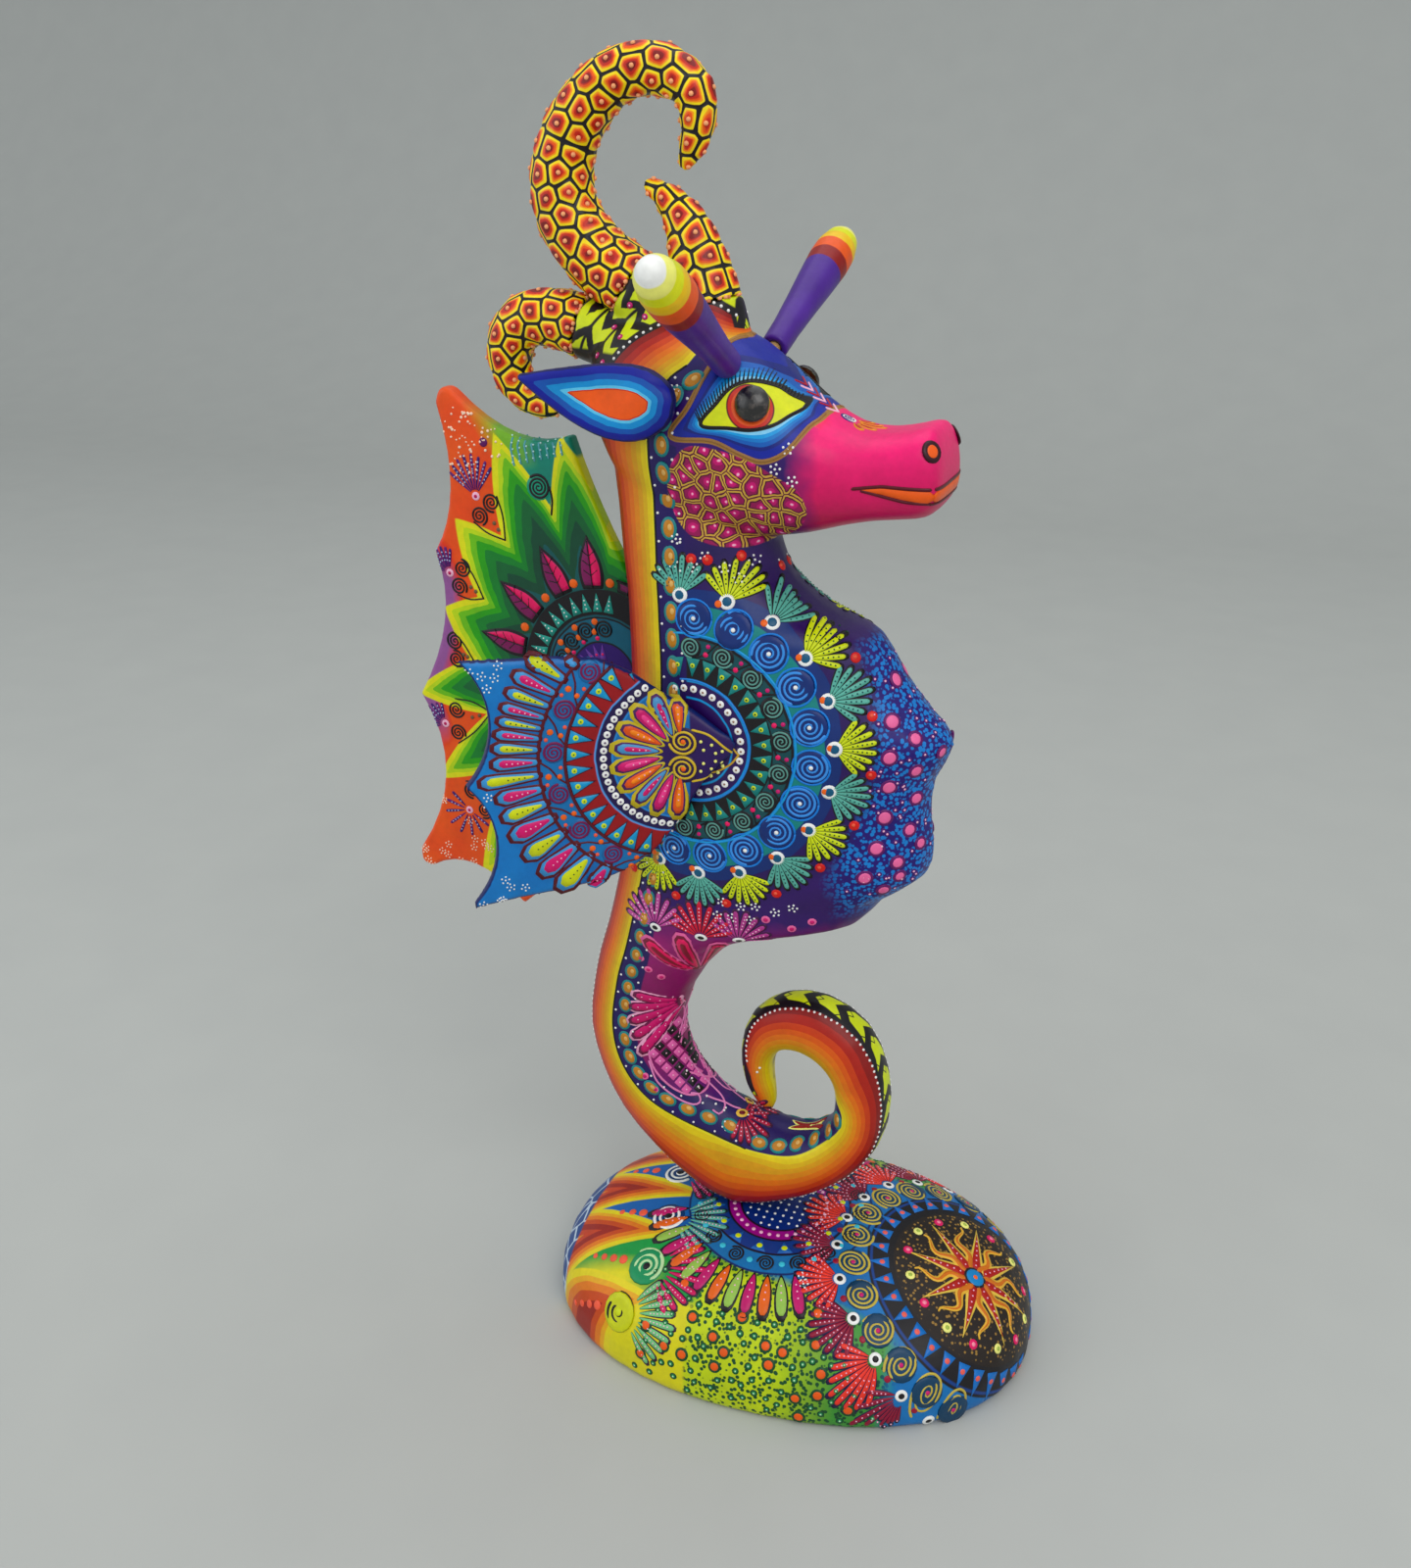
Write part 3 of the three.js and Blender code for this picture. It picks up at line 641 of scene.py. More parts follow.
cells = skin.mix(cells, linear(196, 28, 110), cheekEdge.above(0.21, 0.03) * cheekCore.below(0.27, 0.05))
cells = skin.mix(cells, linear(232, 80, 140), cheekCore.below(0.12, 0.03))
cells = skin.mix(cells, tint["palePink"], cheekCore.below(0.07, 0.03))
paint = skin.mix(paint, cells, cheekField.above(0, 0.4))
diamondIn, almondIn = skin.attribute("diamond"), skin.attribute("almond")
closeness = diamondIn / (diamondIn - almondIn.least(0) + 0.001)
eyeBands = skin.ramp(closeness, [(0.0, tint["royal"]), (0.3, linear(10, 28, 120)), (0.42, tint["mid"]),
                                 (0.56, linear(20, 118, 196)),
                                 (0.68, tint["sky"]), (0.8, tint["pale"])])
paint = skin.mix(paint, eyeBands, diamondIn.above(0, 0.3))
paint = skin.mix(paint, tint["ochre"], diamondIn.within(-1.3, 0.2, 0.3))
paint = skin.mix(paint, tint["black"], almondIn.above(-0.9, 0.2))
toPupil = ((x + 24) ** 2 + (sideways - 30) ** 2 + (z - 421) ** 2) ** 0.5
white = skin.mix(tint["lime"], linear(226, 226, 60), skin.noise(5))
white = skin.mix(white, tint["maroon"], toPupil.below(9.5, 0.3))
white = skin.mix(white, linear(206, 40, 22), toPupil.below(9.0, 0.3))
white = skin.mix(white, linear(240, 108, 70), toPupil.below(7.8, 0.3))
paint = skin.mix(paint, white, almondIn.above(0, 0.25))
body.data.materials.append(skin.finish(paint, cheekEdge * cheekField.above(0, 0.4) * 2, 0.00018))


# antlers
def scaled(piece, centres, size, depth):
    # honeycomb of raised scales: how near each point is to its cell's middle and edge
    tree = KDTree(len(centres))
    for k, centre in enumerate(centres):
        tree.insert(centre, k)
    tree.balance()
    places, normals = pointsOf(piece), normalsOf(piece)
    middle, edge, tone = np.zeros(len(places)), np.zeros(len(places)), np.zeros(len(places))
    for i, place in enumerate(places):
        (_a, first, near), (_b, _second, next_) = tree.find_n(place, 2)
        middle[i], edge[i], tone[i] = near, (next_ - near) * 0.5, (first * 0.61803) % 1
    rise = np.clip(edge / (size * 0.28), 0, 1) ** 0.6 * depth
    setPoints(piece, places + normals * (rise - depth * 0.7)[:, None])
    store(piece, "middle", middle / size)
    store(piece, "edge", edge)
    store(piece, "tone", tone)


def honeycomb(run, size, seed):
    # jittered cell centres round a tapering branch on the median plane
    dice = random.Random(seed)
    line = smoothLine([(a, b) for a, b, _r in run], 10)
    girth = smoothLine([(r, 0) for _a, _b, r in run], 10)[:, 0]
    steps = np.concatenate([[0], np.cumsum(np.hypot(*np.diff(line, axis=0).T))])
    centres, at, row = [], 0.0, 0
    while at < steps[-1]:
        cx, cz, r = (np.interp(at, steps, v) for v in (line[:, 0], line[:, 1], girth))
        dx, dz = (np.interp(at + 1, steps, v) - np.interp(at - 1, steps, v) for v in (line[:, 0], line[:, 1]))
        ahead = np.array([dx, 0, dz]) / max(math.hypot(dx, dz), 1e-6)
        across = np.array([-ahead[2], 0, ahead[0]])
        here = size * (0.62 + 0.38 * min(1, r / 9))
        count = max(3, round(2 * pi * r / here))
        for k in range(count):
            angle = 2 * pi * (k + 0.5 * (row % 2) + dice.uniform(-0.16, 0.16)) / count
            spot = np.array([cx, 0, cz]) + ahead * dice.uniform(-0.9,
                    0.9) + across * math.cos(angle) * r + np.array([0, r * math.sin(angle), 0])
            centres.append(tuple(spot))
        at += here * 0.88
        row += 1
    return centres


antlerRuns = {
    "antler_tall": [(-52, 428, 14), (-65, 443.5, 13.8), (-80.5, 455, 13.2), (-96, 465.5, 12.8),
                    (-107.5, 480, 12.3), (-109, 496, 11.7),
                    (-101, 513, 10.4), (-86.5, 524.8, 9.4), (-70.5, 527, 8.7), (-57.5, 520, 7.7),
                    (-56, 508.5, 6.1), (-59.5, 499, 4), (-61.5, 495, 1.6)],
    "antler_front": [(-48, 424, 14), (-50, 440, 14), (-52.5, 454, 12.4), (-56.5, 467, 10.6), (-61, 478, 7.9),
                     (-67.5, 485.5, 5.2), (-74, 489.5, 3), (-76.5, 490.5, 1.4)],
    "antler_back": [(-72, 430, 12.4), (-86, 436.5, 12.6), (-100, 440, 12), (-113.5, 443, 11.2),
                    (-126.5, 442, 10.3), (-134, 433.5, 9.6),
                    (-134, 422, 8), (-128, 413.5, 6.4), (-119, 409.5, 4.2), (-114.5, 408.5, 1.8)],
}
scales = {"size": 9.4, "depth": 0.75}
horny = Shader("painted_antler_scales", 0.38, 0.15)
edge, middle, tone = (horny.attribute(n) for n in ("edge", "middle", "tone"))
uneven = (horny.noise(4, 2) - 0.5) * 1.3
inEdge = edge + uneven * 0.55
paint = horny.mix(linear(250, 232, 80), linear(250, 214, 40), horny.noise(6))
paint = horny.mix(paint, linear(248, 150, 40), inEdge.above(1.35, 0.25))
paint = horny.mix(paint, linear(236, 88, 26), inEdge.above(1.8, 0.25))
paint = horny.mix(paint, linear(196, 34, 16), inEdge.above(2.25 + (tone - 0.5) * 0.5, 0.3))
paint = horny.mix(paint, linear(128, 12, 10), inEdge.above(2.9, 0.3))
paint = horny.mix(paint, tint["black"], edge.below(0.6 + uneven * 0.22, 0.14))
antlerPaint = horny.finish(paint, None, 0.0001)
beadSpots = {}
for index, (node, run) in enumerate(antlerRuns.items()):
    piece = softened(node, 0.62, 6, "figure")
    centres = honeycomb(run, scales["size"], 11 + index)
    scaled(piece, centres, scales["size"], scales["depth"])
    piece.data.materials.append(antlerPaint)
    beadSpots[piece.name] = centres
    print(node, len(piece.data.vertices), "points", len(centres), "scales")

# eyes, ears, horns
gloss = Shader("glossy_black_eye", 0.12, 0.9)
lump = gloss.noise(2.2, 3)
# painted highlight: the black bead turns lighter grey on the tops of its lumps, where light would catch them
gloss.feed(gloss.surface.inputs["Base Color"],
           gloss.mix(linear(12, 10, 10), linear(70, 62, 56), lump.above(0.62, 0.25)))
gloss.feed(gloss.surface.inputs["Roughness"], lump * 0.3 + 0.08)
gloss.feed(gloss.surface.inputs["Normal"], gloss.node("ShaderNodeBump", Strength=0.7, Distance=0.0005,
                                                      Height=lump).outputs[0])
for side in ("right", "left"):
    eye = softened("eye_" + side, 0.35, 6, "figure")
    eye.data.materials.append(gloss.material)

horn = {"base": (-35, -24, 433), "tip": (-31, -101.5, 470.5), "length": 86.2}
hornShader = Shader("painted_horn", 0.4, 0.12)
run = hornShader.attribute("run")
paint = hornShader.mix(linear(66, 34, 122), linear(92, 58, 156), hornShader.noise(18, 2))
for limit, colour in ((0.63, linear(140, 20, 16)), (0.705, linear(236, 92, 34)),
                      (0.79, linear(240, 196, 40)), (0.85, linear(222, 226, 52)),
                      (0.9, linear(240, 238, 130)), (0.945, tint["white"])):
    paint = hornShader.mix(paint, colour, (run + (hornShader.noise(10) - 0.5) * 0.02).above(limit, 0.006))
hornPaint = hornShader.finish(paint, None, 0.0002)

ear = {"root": (-50.5, -35, 419), "tip": (-106.5, -45.5, 428), "sag": 2.3}
earShader = Shader("painted_ear", 0.4, 0.12)
inset = earShader.attribute("inset") + (earShader.noise(8) - 0.5) * 0.9
paint = earShader.ramp(inset / 14, [(0.0, linear(8, 14, 84)), (0.06, linear(10, 24, 150)),
                                    (0.24, linear(14, 84, 176)), (0.38, linear(34, 146, 214)),
                                    (0.53, linear(110, 200, 236)), (0.6, linear(206, 70, 50)),
                                    (0.63, linear(244, 104, 60))])
outside = earShader.attribute("outside")
paint = earShader.mix(linear(16, 22, 110), paint, outside.above(0.1, 0.2))
earPaint = earShader.finish(paint, None, 0.0002)

for side, flip in (("right", 1), ("left", -1)):
    piece = softened("horn_" + side, 0.8, 8, "horn_" + side)
    root, tip = (np.array(horn[k]) * [1, flip, 1] for k in ("base", "tip"))
    store(piece, "run", (pointsOf(piece) - root) @ (tip - root) / ((tip - root) @ (tip - root)))
    piece.data.materials.append(hornPaint)
    piece = softened("ear_" + side, 0.7, 6, "ear_" + side)
    root, tip = (np.array(ear[k]) * [1, flip, 1] for k in ("root", "tip"))
    axis = (tip - root) / np.linalg.norm(tip - root)
    places = pointsOf(piece) - root
    outward = np.cross([0, 0, 1], axis)
    outward = outward / np.linalg.norm(outward) * (1 if outward[1] * flip < 0 else -1)
    upward = np.cross(axis, outward)
    upward *= 1 if upward[2] > 0 else -1
    earPlane = np.stack([places @ axis, places @ upward], 1)
    length = np.linalg.norm(tip - root)
    sag = lambda s: -ear["sag"] * math.sin(pi * s)
    halves = ((0, 3.2), (0.03, 7), (0.1, 10.4), (0.19, 12.9), (0.29, 13.8), (0.4, 13.4), (0.52, 12),
              (0.66, 9.4), (0.8, 6.2), (0.91, 3.3), (1, 1))
    rim = [(s * length, sag(s) + h) for s, h in halves] + [(s * length, sag(s) - h) for s,
                                                           h in reversed(halves)]
    store(piece, "inset", np.clip(insideOf(np.array(rim), earPlane), 0, 14))
    store(piece, "outside", normalsOf(piece) @ outward)
    piece.data.materials.append(earPaint)

# fins
sideFin = {"heart": (-47, -39, 289), "tip": (-112.5, -77), "voxel": 0.85}
finShader = Shader("painted_side_fin", 0.4, 0.12)
u, v, rim = (finShader.attribute(n) for n in ("u", "v", "rim"))
shake = (finShader.noise(8, 2) - 0.5) * 1.2
r = (u ** 2 + v ** 2) ** 0.5 + shake
paint = finShader.mix(linear(24, 104, 178), linear(36, 132, 204), finShader.noise(14, 2))
for limit, colour in ((70, linear(16, 86, 160)), (55.4, tint["maroon"]), (54.4, linear(24, 112, 176)),
                      (45.4, tint["maroon"]),
                      (44.2, linear(150, 18, 24)), (33.7, linear(96, 160, 226)), (33.1, linear(30, 16, 70)),
                      (27.2, linear(70, 140, 210)),
                      (26.5, linear(20, 104, 170))):
    paint = finShader.mix(paint, colour, r.below(limit, 0.5) if limit < 60 else r.below(limit, 8) * 0.5)
paint = finShader.mix(paint, tint["deepPurple"], u.below(-3, 0.6).most(r.below(9, 0.5)))
paint = finShader.mix(paint, linear(16, 30, 92), rim.below(0.8, 0.4))
finPaint = finShader.finish(paint, None, 0.00015)

dorsal = {"heart": (-96.5, 303.5), "voxel": 0.8}
# angle from the heart, and how far the green burst reaches there
burst = [(60, 50), (86, 56), (99.5, 93), (107.5, 67), (115.5, 100), (129.5, 66), (138, 84), (155, 60),
         (164.5, 73), (181, 60), (192, 90), (204, 59),
         (215.5, 98), (226, 62), (238.5, 118), (252, 60), (300, 60)]
dorsalShader = Shader("painted_dorsal_fin", 0.4, 0.12)
reach, r, turn, rim = (dorsalShader.attribute(n) for n in ("reach", "r", "turn", "rim"))
shake = (dorsalShader.noise(9, 2) - 0.5) * 0.05
paint = dorsalShader.mix(linear(226, 52, 18), linear(240, 104, 36), dorsalShader.noise(22, 2))
paint = dorsalShader.mix(paint, linear(96, 92, 168), rim.below(7, 5) * turn.within(150, 205, 10) * 0.75)
paint = dorsalShader.mix(paint, linear(20, 130, 110), turn.below(114.5, 2))
paint = dorsalShader.mix(paint, linear(120, 176, 60), turn.within(109, 117, 5) * rim.below(9, 6))
greens = dorsalShader.ramp((1.06 - reach - shake) * 1.0,
        [(0.0, linear(222, 220, 60)), (0.055, linear(186, 214, 44)), (0.1, linear(110, 186, 44)),
         (0.15, linear(56, 156, 44)),
                                                 (0.21, linear(20, 124, 44)), (0.28, linear(8, 96, 46)),
                                                 (0.36, linear(6, 70, 46)), (0.47, linear(10, 84, 84))])
paint = dorsalShader.mix(paint, greens, reach.below(1.06, 0.012))
for limit, colour in ((36.4, tint["black"]), (25.6, linear(20, 84, 96)), (24.8, tint["black"]),
                      (24, linear(24, 96, 120)), (14.6, tint["black"]), (13.8, linear(52, 24, 110))):
    paint = dorsalShader.mix(paint, colour, (r + shake * 20).below(limit, 0.4))
dorsalPaint = dorsalShader.finish(paint, None, 0.00015)


def rimOf(piece, plane, facing, sharp=0.35):
    # distance in the sheet's own plane to its rim
    edge = plane[np.abs(facing) < sharp]
    tree = KDTree(len(edge))
    for k, (a, b) in enumerate(edge):
        tree.insert((a, b, 0), k)
    tree.balance()
    store(piece, "rim", [tree.find((a, b, 0))[2] for a, b in plane])


def finBoard(side):
    # the side fin's own drawing board: across the fin towards its tip, and up
    hx, hy, hz = sideFin["heart"]
    tx, ty = sideFin["tip"]
    run = Vector((tx - hx, (ty - hy) * side, 0)).normalized()
    outward = Vector((-run.y, run.x, 0))
    if outward.y * side > 0:
        outward.negate()
    board = Frame((hx, hy * side, hz), outward)
    board.right = run
    return board


for side, sign in (("right", 1), ("left", -1)):
    piece = softened("side_fin_" + side, sideFin["voxel"], 5, "figure")
    board = finBoard(sign)
    away = pointsOf(piece) - np.array(sideFin["heart"]) * [1, sign, 1]
    plane = np.stack([away @ np.array(board.right), away[:, 2]], 1)
    store(piece, "u", plane[:, 0])
    store(piece, "v", plane[:, 1])
    rimOf(piece, plane, normalsOf(piece) @ np.array(board.normal))
    piece.data.materials.append(finPaint)
    for face, normal in (("outer", board.normal), ("inner", -board.normal)):
        sheet = finBoard(sign)
        sheet.normal = Vector(normal)
        random.seed(9)
        b = Brush("side_fin_" + side + "_" + face + "_brushwork", piece, "figure", [sheet],
                  14 if face == "outer" else 9)
        at = lambda r, deg: (r * math.cos(math.radians(deg)), r * math.sin(math.radians(deg)))
        for k, deg in enumerate(np.linspace(-86, 86, 10)):
            a = math.radians(deg)
            b.petal(0, 0, a, 8, 25, 8.4, linear(196, 176, 60), 0.2, 0.6)
            b.petal(0, 0, a, 9, 23.8, 6.4, linear(74, 30, 90), 0.32, 0.6)
            b.petal(0, 0, a, 9.5, 23.2, 4.8, (linear(226, 90, 40), linear(206, 40, 110),
                                              linear(90, 150, 200))[k % 3], 0.46, 0.6)
            b.petal(0, 0, a, 12, 21.5, 2.4, (linear(250, 140, 60), linear(240, 90, 150),
                                             linear(206, 50, 110))[k % 3], 0.58, 0.6)
            for q in (14, 16.5, 19):
                b.dot(*at(q, deg), 0.42, tint["palePink"], 0.8)
        for up in (5.6, -5.6):
            b.dot(-0.5, up, 6.2, linear(40, 14, 60), 0.3)
            b.spiral(-0.5, up, 5.3, linear(210, 180, 70), 2.6, 0.4 * up, 1.15, 1 if up > 0 else -1, 0.5)
            b.dot(-0.5, up, 1.2, tint["orange"], 0.7)
            heart = smoothLine([(-4, up * 1.9), (-10, up * 1.6), (-16, up * 0.7), (-21, 0)], 6)
            b.stroke(heart, 1.0, linear(210, 180, 70), 0.35)
            for hu, hv in ((-7, 1.1), (-11, 0.9), (-8, 0.5), (-12.5, 0.3), (-15, 0.45)):
                b.dot(hu, up * hv, 0.75, tint["paleYellow"], 0.45)
        for k in range(31):
            deg = -94 + 6.3 * k
            b.dot(*at(30.2, deg), 1.5, tint["white"], 0.45)
            b.dot(*at(30.2, deg), 0.6, linear(110, 90, 120), 0.65)
        for k in range(22):
            deg = -98 + 9.3 * k
            b.wedge(*at(44.4, deg), math.radians(deg + 180), -0.4, 10.0, 7.6, linear(60, 10, 40), 0.22)
            b.wedge(*at(44.1, deg), math.radians(deg + 180), 0, 8.6, 6.4, linear(50, 150, 200), 0.34)
            b.dot(*at(41.6, deg), 1.3, tint["lime"], 0.55)
            b.dot(*at(41.6, deg), 0.55, linear(60, 130, 60), 0.7)
        b.ring(0, 0, 44.9, 1.3, tint["maroon"], 0.4, (-100, 100))
        b.ring(0, 0, 54.9, 1.4, tint["maroon"], 0.4, (-100, 100))
        for k in range(9):
            deg = -76 + 20.3 * k
            b.dot(*at(49.2, deg), 4.6, linear(20, 100, 160), 0.16)
            b.spiral(*at(49.2, deg), 4.1, linear(112, 20, 76), 2.7, k * 1.1, 1.15)
            for q, swing, size, colour in ((47.4, 8.4, 1.2, "orange"), (51.6, 9.2, 1.3, "orange"),
                                           (52.6, 5.6, 0.9, "coral"), (46.6, 12.8, 0.9, "coral")):
                b.dot(*at(q, deg + swing), size, tint[colour], 0.45)
            b.stroke([at(45.4, deg + 4.4), at(48, deg + 7.6), at(50.4, deg + 12.6), at(54.3, deg + 16)], 0.8,
                     tint["maroon"])
        petals = (-74, -66, -57, -48, -40, -32, -24, -17, -10.5, -4.5, 1.2, 6.4, 11, 15.3, 19.8, 24.8, 30.4,
                  37, 44, 51.5, 60, 69)
        for k, deg in enumerate(petals):
            near = petals[k - 1] if k else deg - 8
            wide = 0.98 * math.radians(min(9, deg - near)) * 66
            long = 70.5 + (5 if abs(deg + 4) < 4 else 0)
            pinkish = k % 2 == 0
            a = math.radians(deg)
            for near_, less, width, least, colour in ((55.4, 0, wide + 0.9, 0.6, tint["maroon"]),
                                                      (56, 1, wide - 0.9, 0.5, linear(80, 150, 206)),
                                                      (57.5, 2.4, wide - 2.7, 0.3,
                                                              linear(214, 34, 110)
                                                              if pinkish else linear(206, 214, 60))):
                b.stroke([at(near_, deg), at(long - less, deg)],
                        lambda q: width * (least + (1 - least) * min(1, 1.3 * q)), colour, 0.2 + 0.14 * less,
                        1.8)
            for q in (60.5, 62.6, 64.7, 66.8):
                b.dot(*at(q, deg), 0.42, tint["palePink"] if pinkish else tint["darkGreen"], 0.75)
        for corner in (40, -8, -50):
            for _n in range(9):
                cu, cv = random.uniform(60, 80), corner + random.uniform(-9, 3)
                if math.hypot(cu, cv) > 74:
                    b.cluster(cu, cv, tint["white"], 1.5, 0.42, random.random())
        b.done(brushPaint)
    print("side fin", side)

piece = softened("dorsal_fin", dorsal["voxel"], 5, "figure")
hx, hz = dorsal["heart"]
away = pointsOf(piece)[:, [0, 2]] - np.array([hx, hz])
turnHere = np.degrees(np.arctan2(away[:, 1], away[:, 0])) % 360
farHere = np.hypot(*away.T)
store(piece, "turn", turnHere)
store(piece, "r", farHere)
store(piece, "reach", farHere / np.interp(turnHere, *zip(*burst)))
rimOf(piece, away, normalsOf(piece)[:, 1])
piece.data.materials.append(dorsalPaint)
for sideName, board in zip(("right", "left"), (Frame((hx, 0, hz), (0, -1, 0)),
                                               Frame((hx, 0, hz), (0, 1, 0), flip=True))):
    random.seed(5)
    b = Brush("dorsal_fin_" + sideName + "_brushwork", piece, "figure", [board], 12)
    at = lambda r, deg: (r * math.cos(math.radians(deg)), r * math.sin(math.radians(deg)))
    for k in range(18):
        deg = 84 + 10.2 * k
        b.wedge(*at(27, deg), math.radians(deg), 0, 7.6, 4.8, linear(50, 150, 136))
        for q in (28.4, 30.2, 32):
            b.dot(*at(q, deg), 0.45, tint["white"], 0.45)
    for k in range(8):
        deg = 88 + 25 * k
        b.spiral(*at(19.6, deg), 4.0, tint["black"], 2.6, k, 1.0)
        b.dot(*at(22.8, deg + 11), 1.5, tint["orange"], 0.45)
        b.dot(*at(18.6, deg + 14), 1.4, tint["orange"], 0.45)
        b.dot(*at(15.8, deg + 11), 1.1, tint["hotPink"], 0.45)
    for k in range(10):
        deg = 92 + 18 * k
        b.wedge(*at(6.5, deg), math.radians(deg), 0, 6.6, 3.4, linear(110, 70, 160))
        b.dot(*at(9, deg), 0.7, tint["hotPink"], 0.45)
    # leaf-shaped buds between the points of the burst, and dots between the buds
    for deg in (72, 96, 118, 143, 168, 193, 218, 242):
        a = math.radians(deg)
        side = lambda r, off: (r * math.cos(a) - off * math.sin(a), r * math.sin(a) + off * math.cos(a))
        leaf = lambda w: (lambda q: w * math.sin(pi * (0.3 + 0.7 * q)))
        b.stroke([at(36.5, deg), at(58.5, deg)], leaf(12.6), tint["black"], 0.2, 1.8, False)
        b.stroke([at(38, deg), at(56.5, deg)], leaf(10), linear(122, 16, 84), 0.34, 1.8, False)
        b.stroke([side(38, -2), side(46, -2.1), side(55, -0.5)], leaf(4.8), linear(226, 30, 96), 0.46, 1.6,
                 False)
        b.stroke([at(37, deg), at(56, deg)], 0.6, tint["black"], 0.56, 1.8)
        for q in (42, 46, 50):
            b.stroke([at(q, deg), side(q + 2.2, 3)], 0.45, tint["black"], 0.56)
            b.stroke([at(q, deg), side(q + 2.2, -3)], 0.45, tint["black"], 0.56)
        b.dot(*at(39.6, deg + 12.5), 2.0, tint["orange"], 0.45)
    # scrolls in the pockets between the points: place of each spiral and the pocket's own point
    b.dot(-26.5, 75.5, 5.6, linear(40, 150, 120), 0.2)
    b.spiral(-26.5, 75.5, 5.0, tint["black"], 3.2, 1, 1.2)
    b.stroke(smoothLine([(-21.6, 76), (-20.6, 71), (-21.2, 65)], 5), 0.9, tint["black"])
    pockets = (((-48.5, 67.5), (-54.5, 61.5), (-43, 52.5)), ((-64.5, 38.5), (-66.5, 30.5), (-55, 26.5)),
               ((-70.5, -2), (-70.5, 6), (-62, -1.5)),
               ((-72.5, -25.5), (-72.5, -36.5), (-55, -24.5)), ((-67.5, -63.5), (-61.5, -72.5), (-50, -60)))
    for one, two, tip in pockets:
        middle = ((one[0] + two[0]) / 2, (one[1] + two[1]) / 2)
        for way, (px, pz) in ((1, one), (-1, two)):
            b.spiral(px, pz, 3.9, tint["black"], 2.5, px, 0.95, way)
            outer_ = (px + (px - middle[0]) * 0.9, pz + (pz - middle[1]) * 0.9)
            b.stroke(smoothLine([outer_, ((outer_[0] + tip[0]) / 2 + (px - middle[0]) * 0.3,
                    (outer_[1] + tip[1]) / 2 + (pz - middle[1]) * 0.3), tip], 6), 0.7, tint["black"])
        for share_ in (0.45, 0.66):
            b.dot(middle[0] + (tip[0] - middle[0]) * share_, middle[1] + (tip[1] - middle[1]) * share_, 1.0,
                  linear(110, 90, 60), 0.4)
    for px, pz, lean, spread, far in ((-55.5, 69.5, 100, 1.5, 17), (-70.5, 36, 128, 1.5, 12),
            (-78.5, -33, 150, 1.8, 11), (-69.5, -73.5, 232, 3.3, 13), (-77, 12, 140, 1.6, 10)):
        b.fan(px, pz, math.radians(lean), spread, 8, 2.8, far, 1.5,
              [linear(62, 24, 104), linear(96, 30, 110)], None, linear(180, 190, 226))
        b.dot(px, pz, 1.9, tint["palePink"], 0.35)
        b.dot(px, pz, 0.95, linear(190, 20, 90), 0.55)
    b.dot(-50.5, 91.5, 2.0, linear(90, 20, 90), 0.35)
    for _n in range(90):
        deg, far = random.uniform(114, 130), random.uniform(96, 122)
        b.dot(*at(far, deg), random.choice((0.4, 0.55, 0.7)), linear(252, 220, 196), 0.4)
    for _n in range(26):
        deg, far = random.uniform(220, 238), random.uniform(104, 140)
        b.cluster(*at(far, deg), linear(250, 214, 190), 1.5, 0.45, random.random())
    for k in range(8):
        px = -37 + 3.1 * k
        b.stroke([(px, 83.5 + 0.8 * k), (px - 1.2, 90 + 0.8 * k), (px + 0.6, 97 + 0.4 * k)], 0.9,
                 linear(90, 160, 170), 0.3)
        for q in range(5):
            b.dot(px - 0.5 + 0.3 * math.sin(q), 84.5 + 0.8 * k + q * 2.6, 0.45, linear(190, 226, 226), 0.45)
    b.done(brushPaint)
print("dorsal fin")

# the mound
mound = {"sun": (86, -2, 41), "stand": (-7, 0), "voxel": 1.5}
base = softened("base", mound["voxel"], 4, "figure", "base_carved")
soil = Shader("painted_mound", 0.4, 0.12)
x, y, z = soil.x + forward, soil.y, soil.z
shake = (soil.noise(16, 2) - 0.5) * 3
sx, sy, sz = mound["sun"]
toSun = ((x - sx) ** 2 + (y - sy) ** 2 + (z - sz) ** 2) ** 0.5 + shake * 0.25
px, py = mound["stand"]
toStand = ((x - px) ** 2 + (y - py) ** 2) ** 0.5 + shake * 0.2
spot = soil.point(x, y, z)
paint = soil.mix(linear(24, 92, 160), linear(36, 124, 190), soil.noise(30, 2))
# stippled green flank
stipple = Wire(soil, soil.cells(2.2, spot, flat=False).outputs["Distance"])
meadow = soil.mix(linear(188, 206, 52), linear(24, 132, 60),
                  ((x + shake * 2).above(26, 30) * 0.9).most((abs(y) + z * 0.4).below(62, 8)))
meadow = soil.mix(meadow, linear(10, 70, 36), stipple.below(0.4, 0.1))
outward = y * -1 - z * 0.15
paint = soil.mix(paint, meadow, ((y + shake) * -1 - x * 0.1).above(41, 5) * x.within(-62, 62, 8))
farMeadow = ((y + shake) - x * 0.05).above(40, 5) * x.within(-60, 56, 8)
paint = soil.mix(paint, meadow, farMeadow)
# burning zigzags at the tail end
tongue = None
for tipX, tipY, opening in ((-92, -48, 0.3), (-90, -20, 0.26), (-92, 8, 0.26), (-86, 34, 0.3),
                            (-74, -74, 0.3), (-72, 58, 0.3)):
    arm = (y - tipY).do("ABSOLUTE") - (x - tipX) * opening
    tongue = arm if tongue is None else tongue.least(arm)
flames = soil.ramp((tongue + shake * 0.25) / 26,
        [(0.0, linear(222, 206, 60)), (0.09, linear(226, 166, 30)), (0.16, linear(222, 120, 22)),
         (0.25, linear(196, 70, 16)),
                                   (0.34, linear(150, 30, 14)), (0.46, linear(196, 60, 16)),
                                   (0.56, linear(222, 130, 30)), (0.68, linear(150, 30, 14)),
                                   (0.85, linear(110, 20, 14))])
net = Wire(soil, soil.cells(11, spot, "DISTANCE_TO_EDGE", 0.8, False).outputs["Distance"])
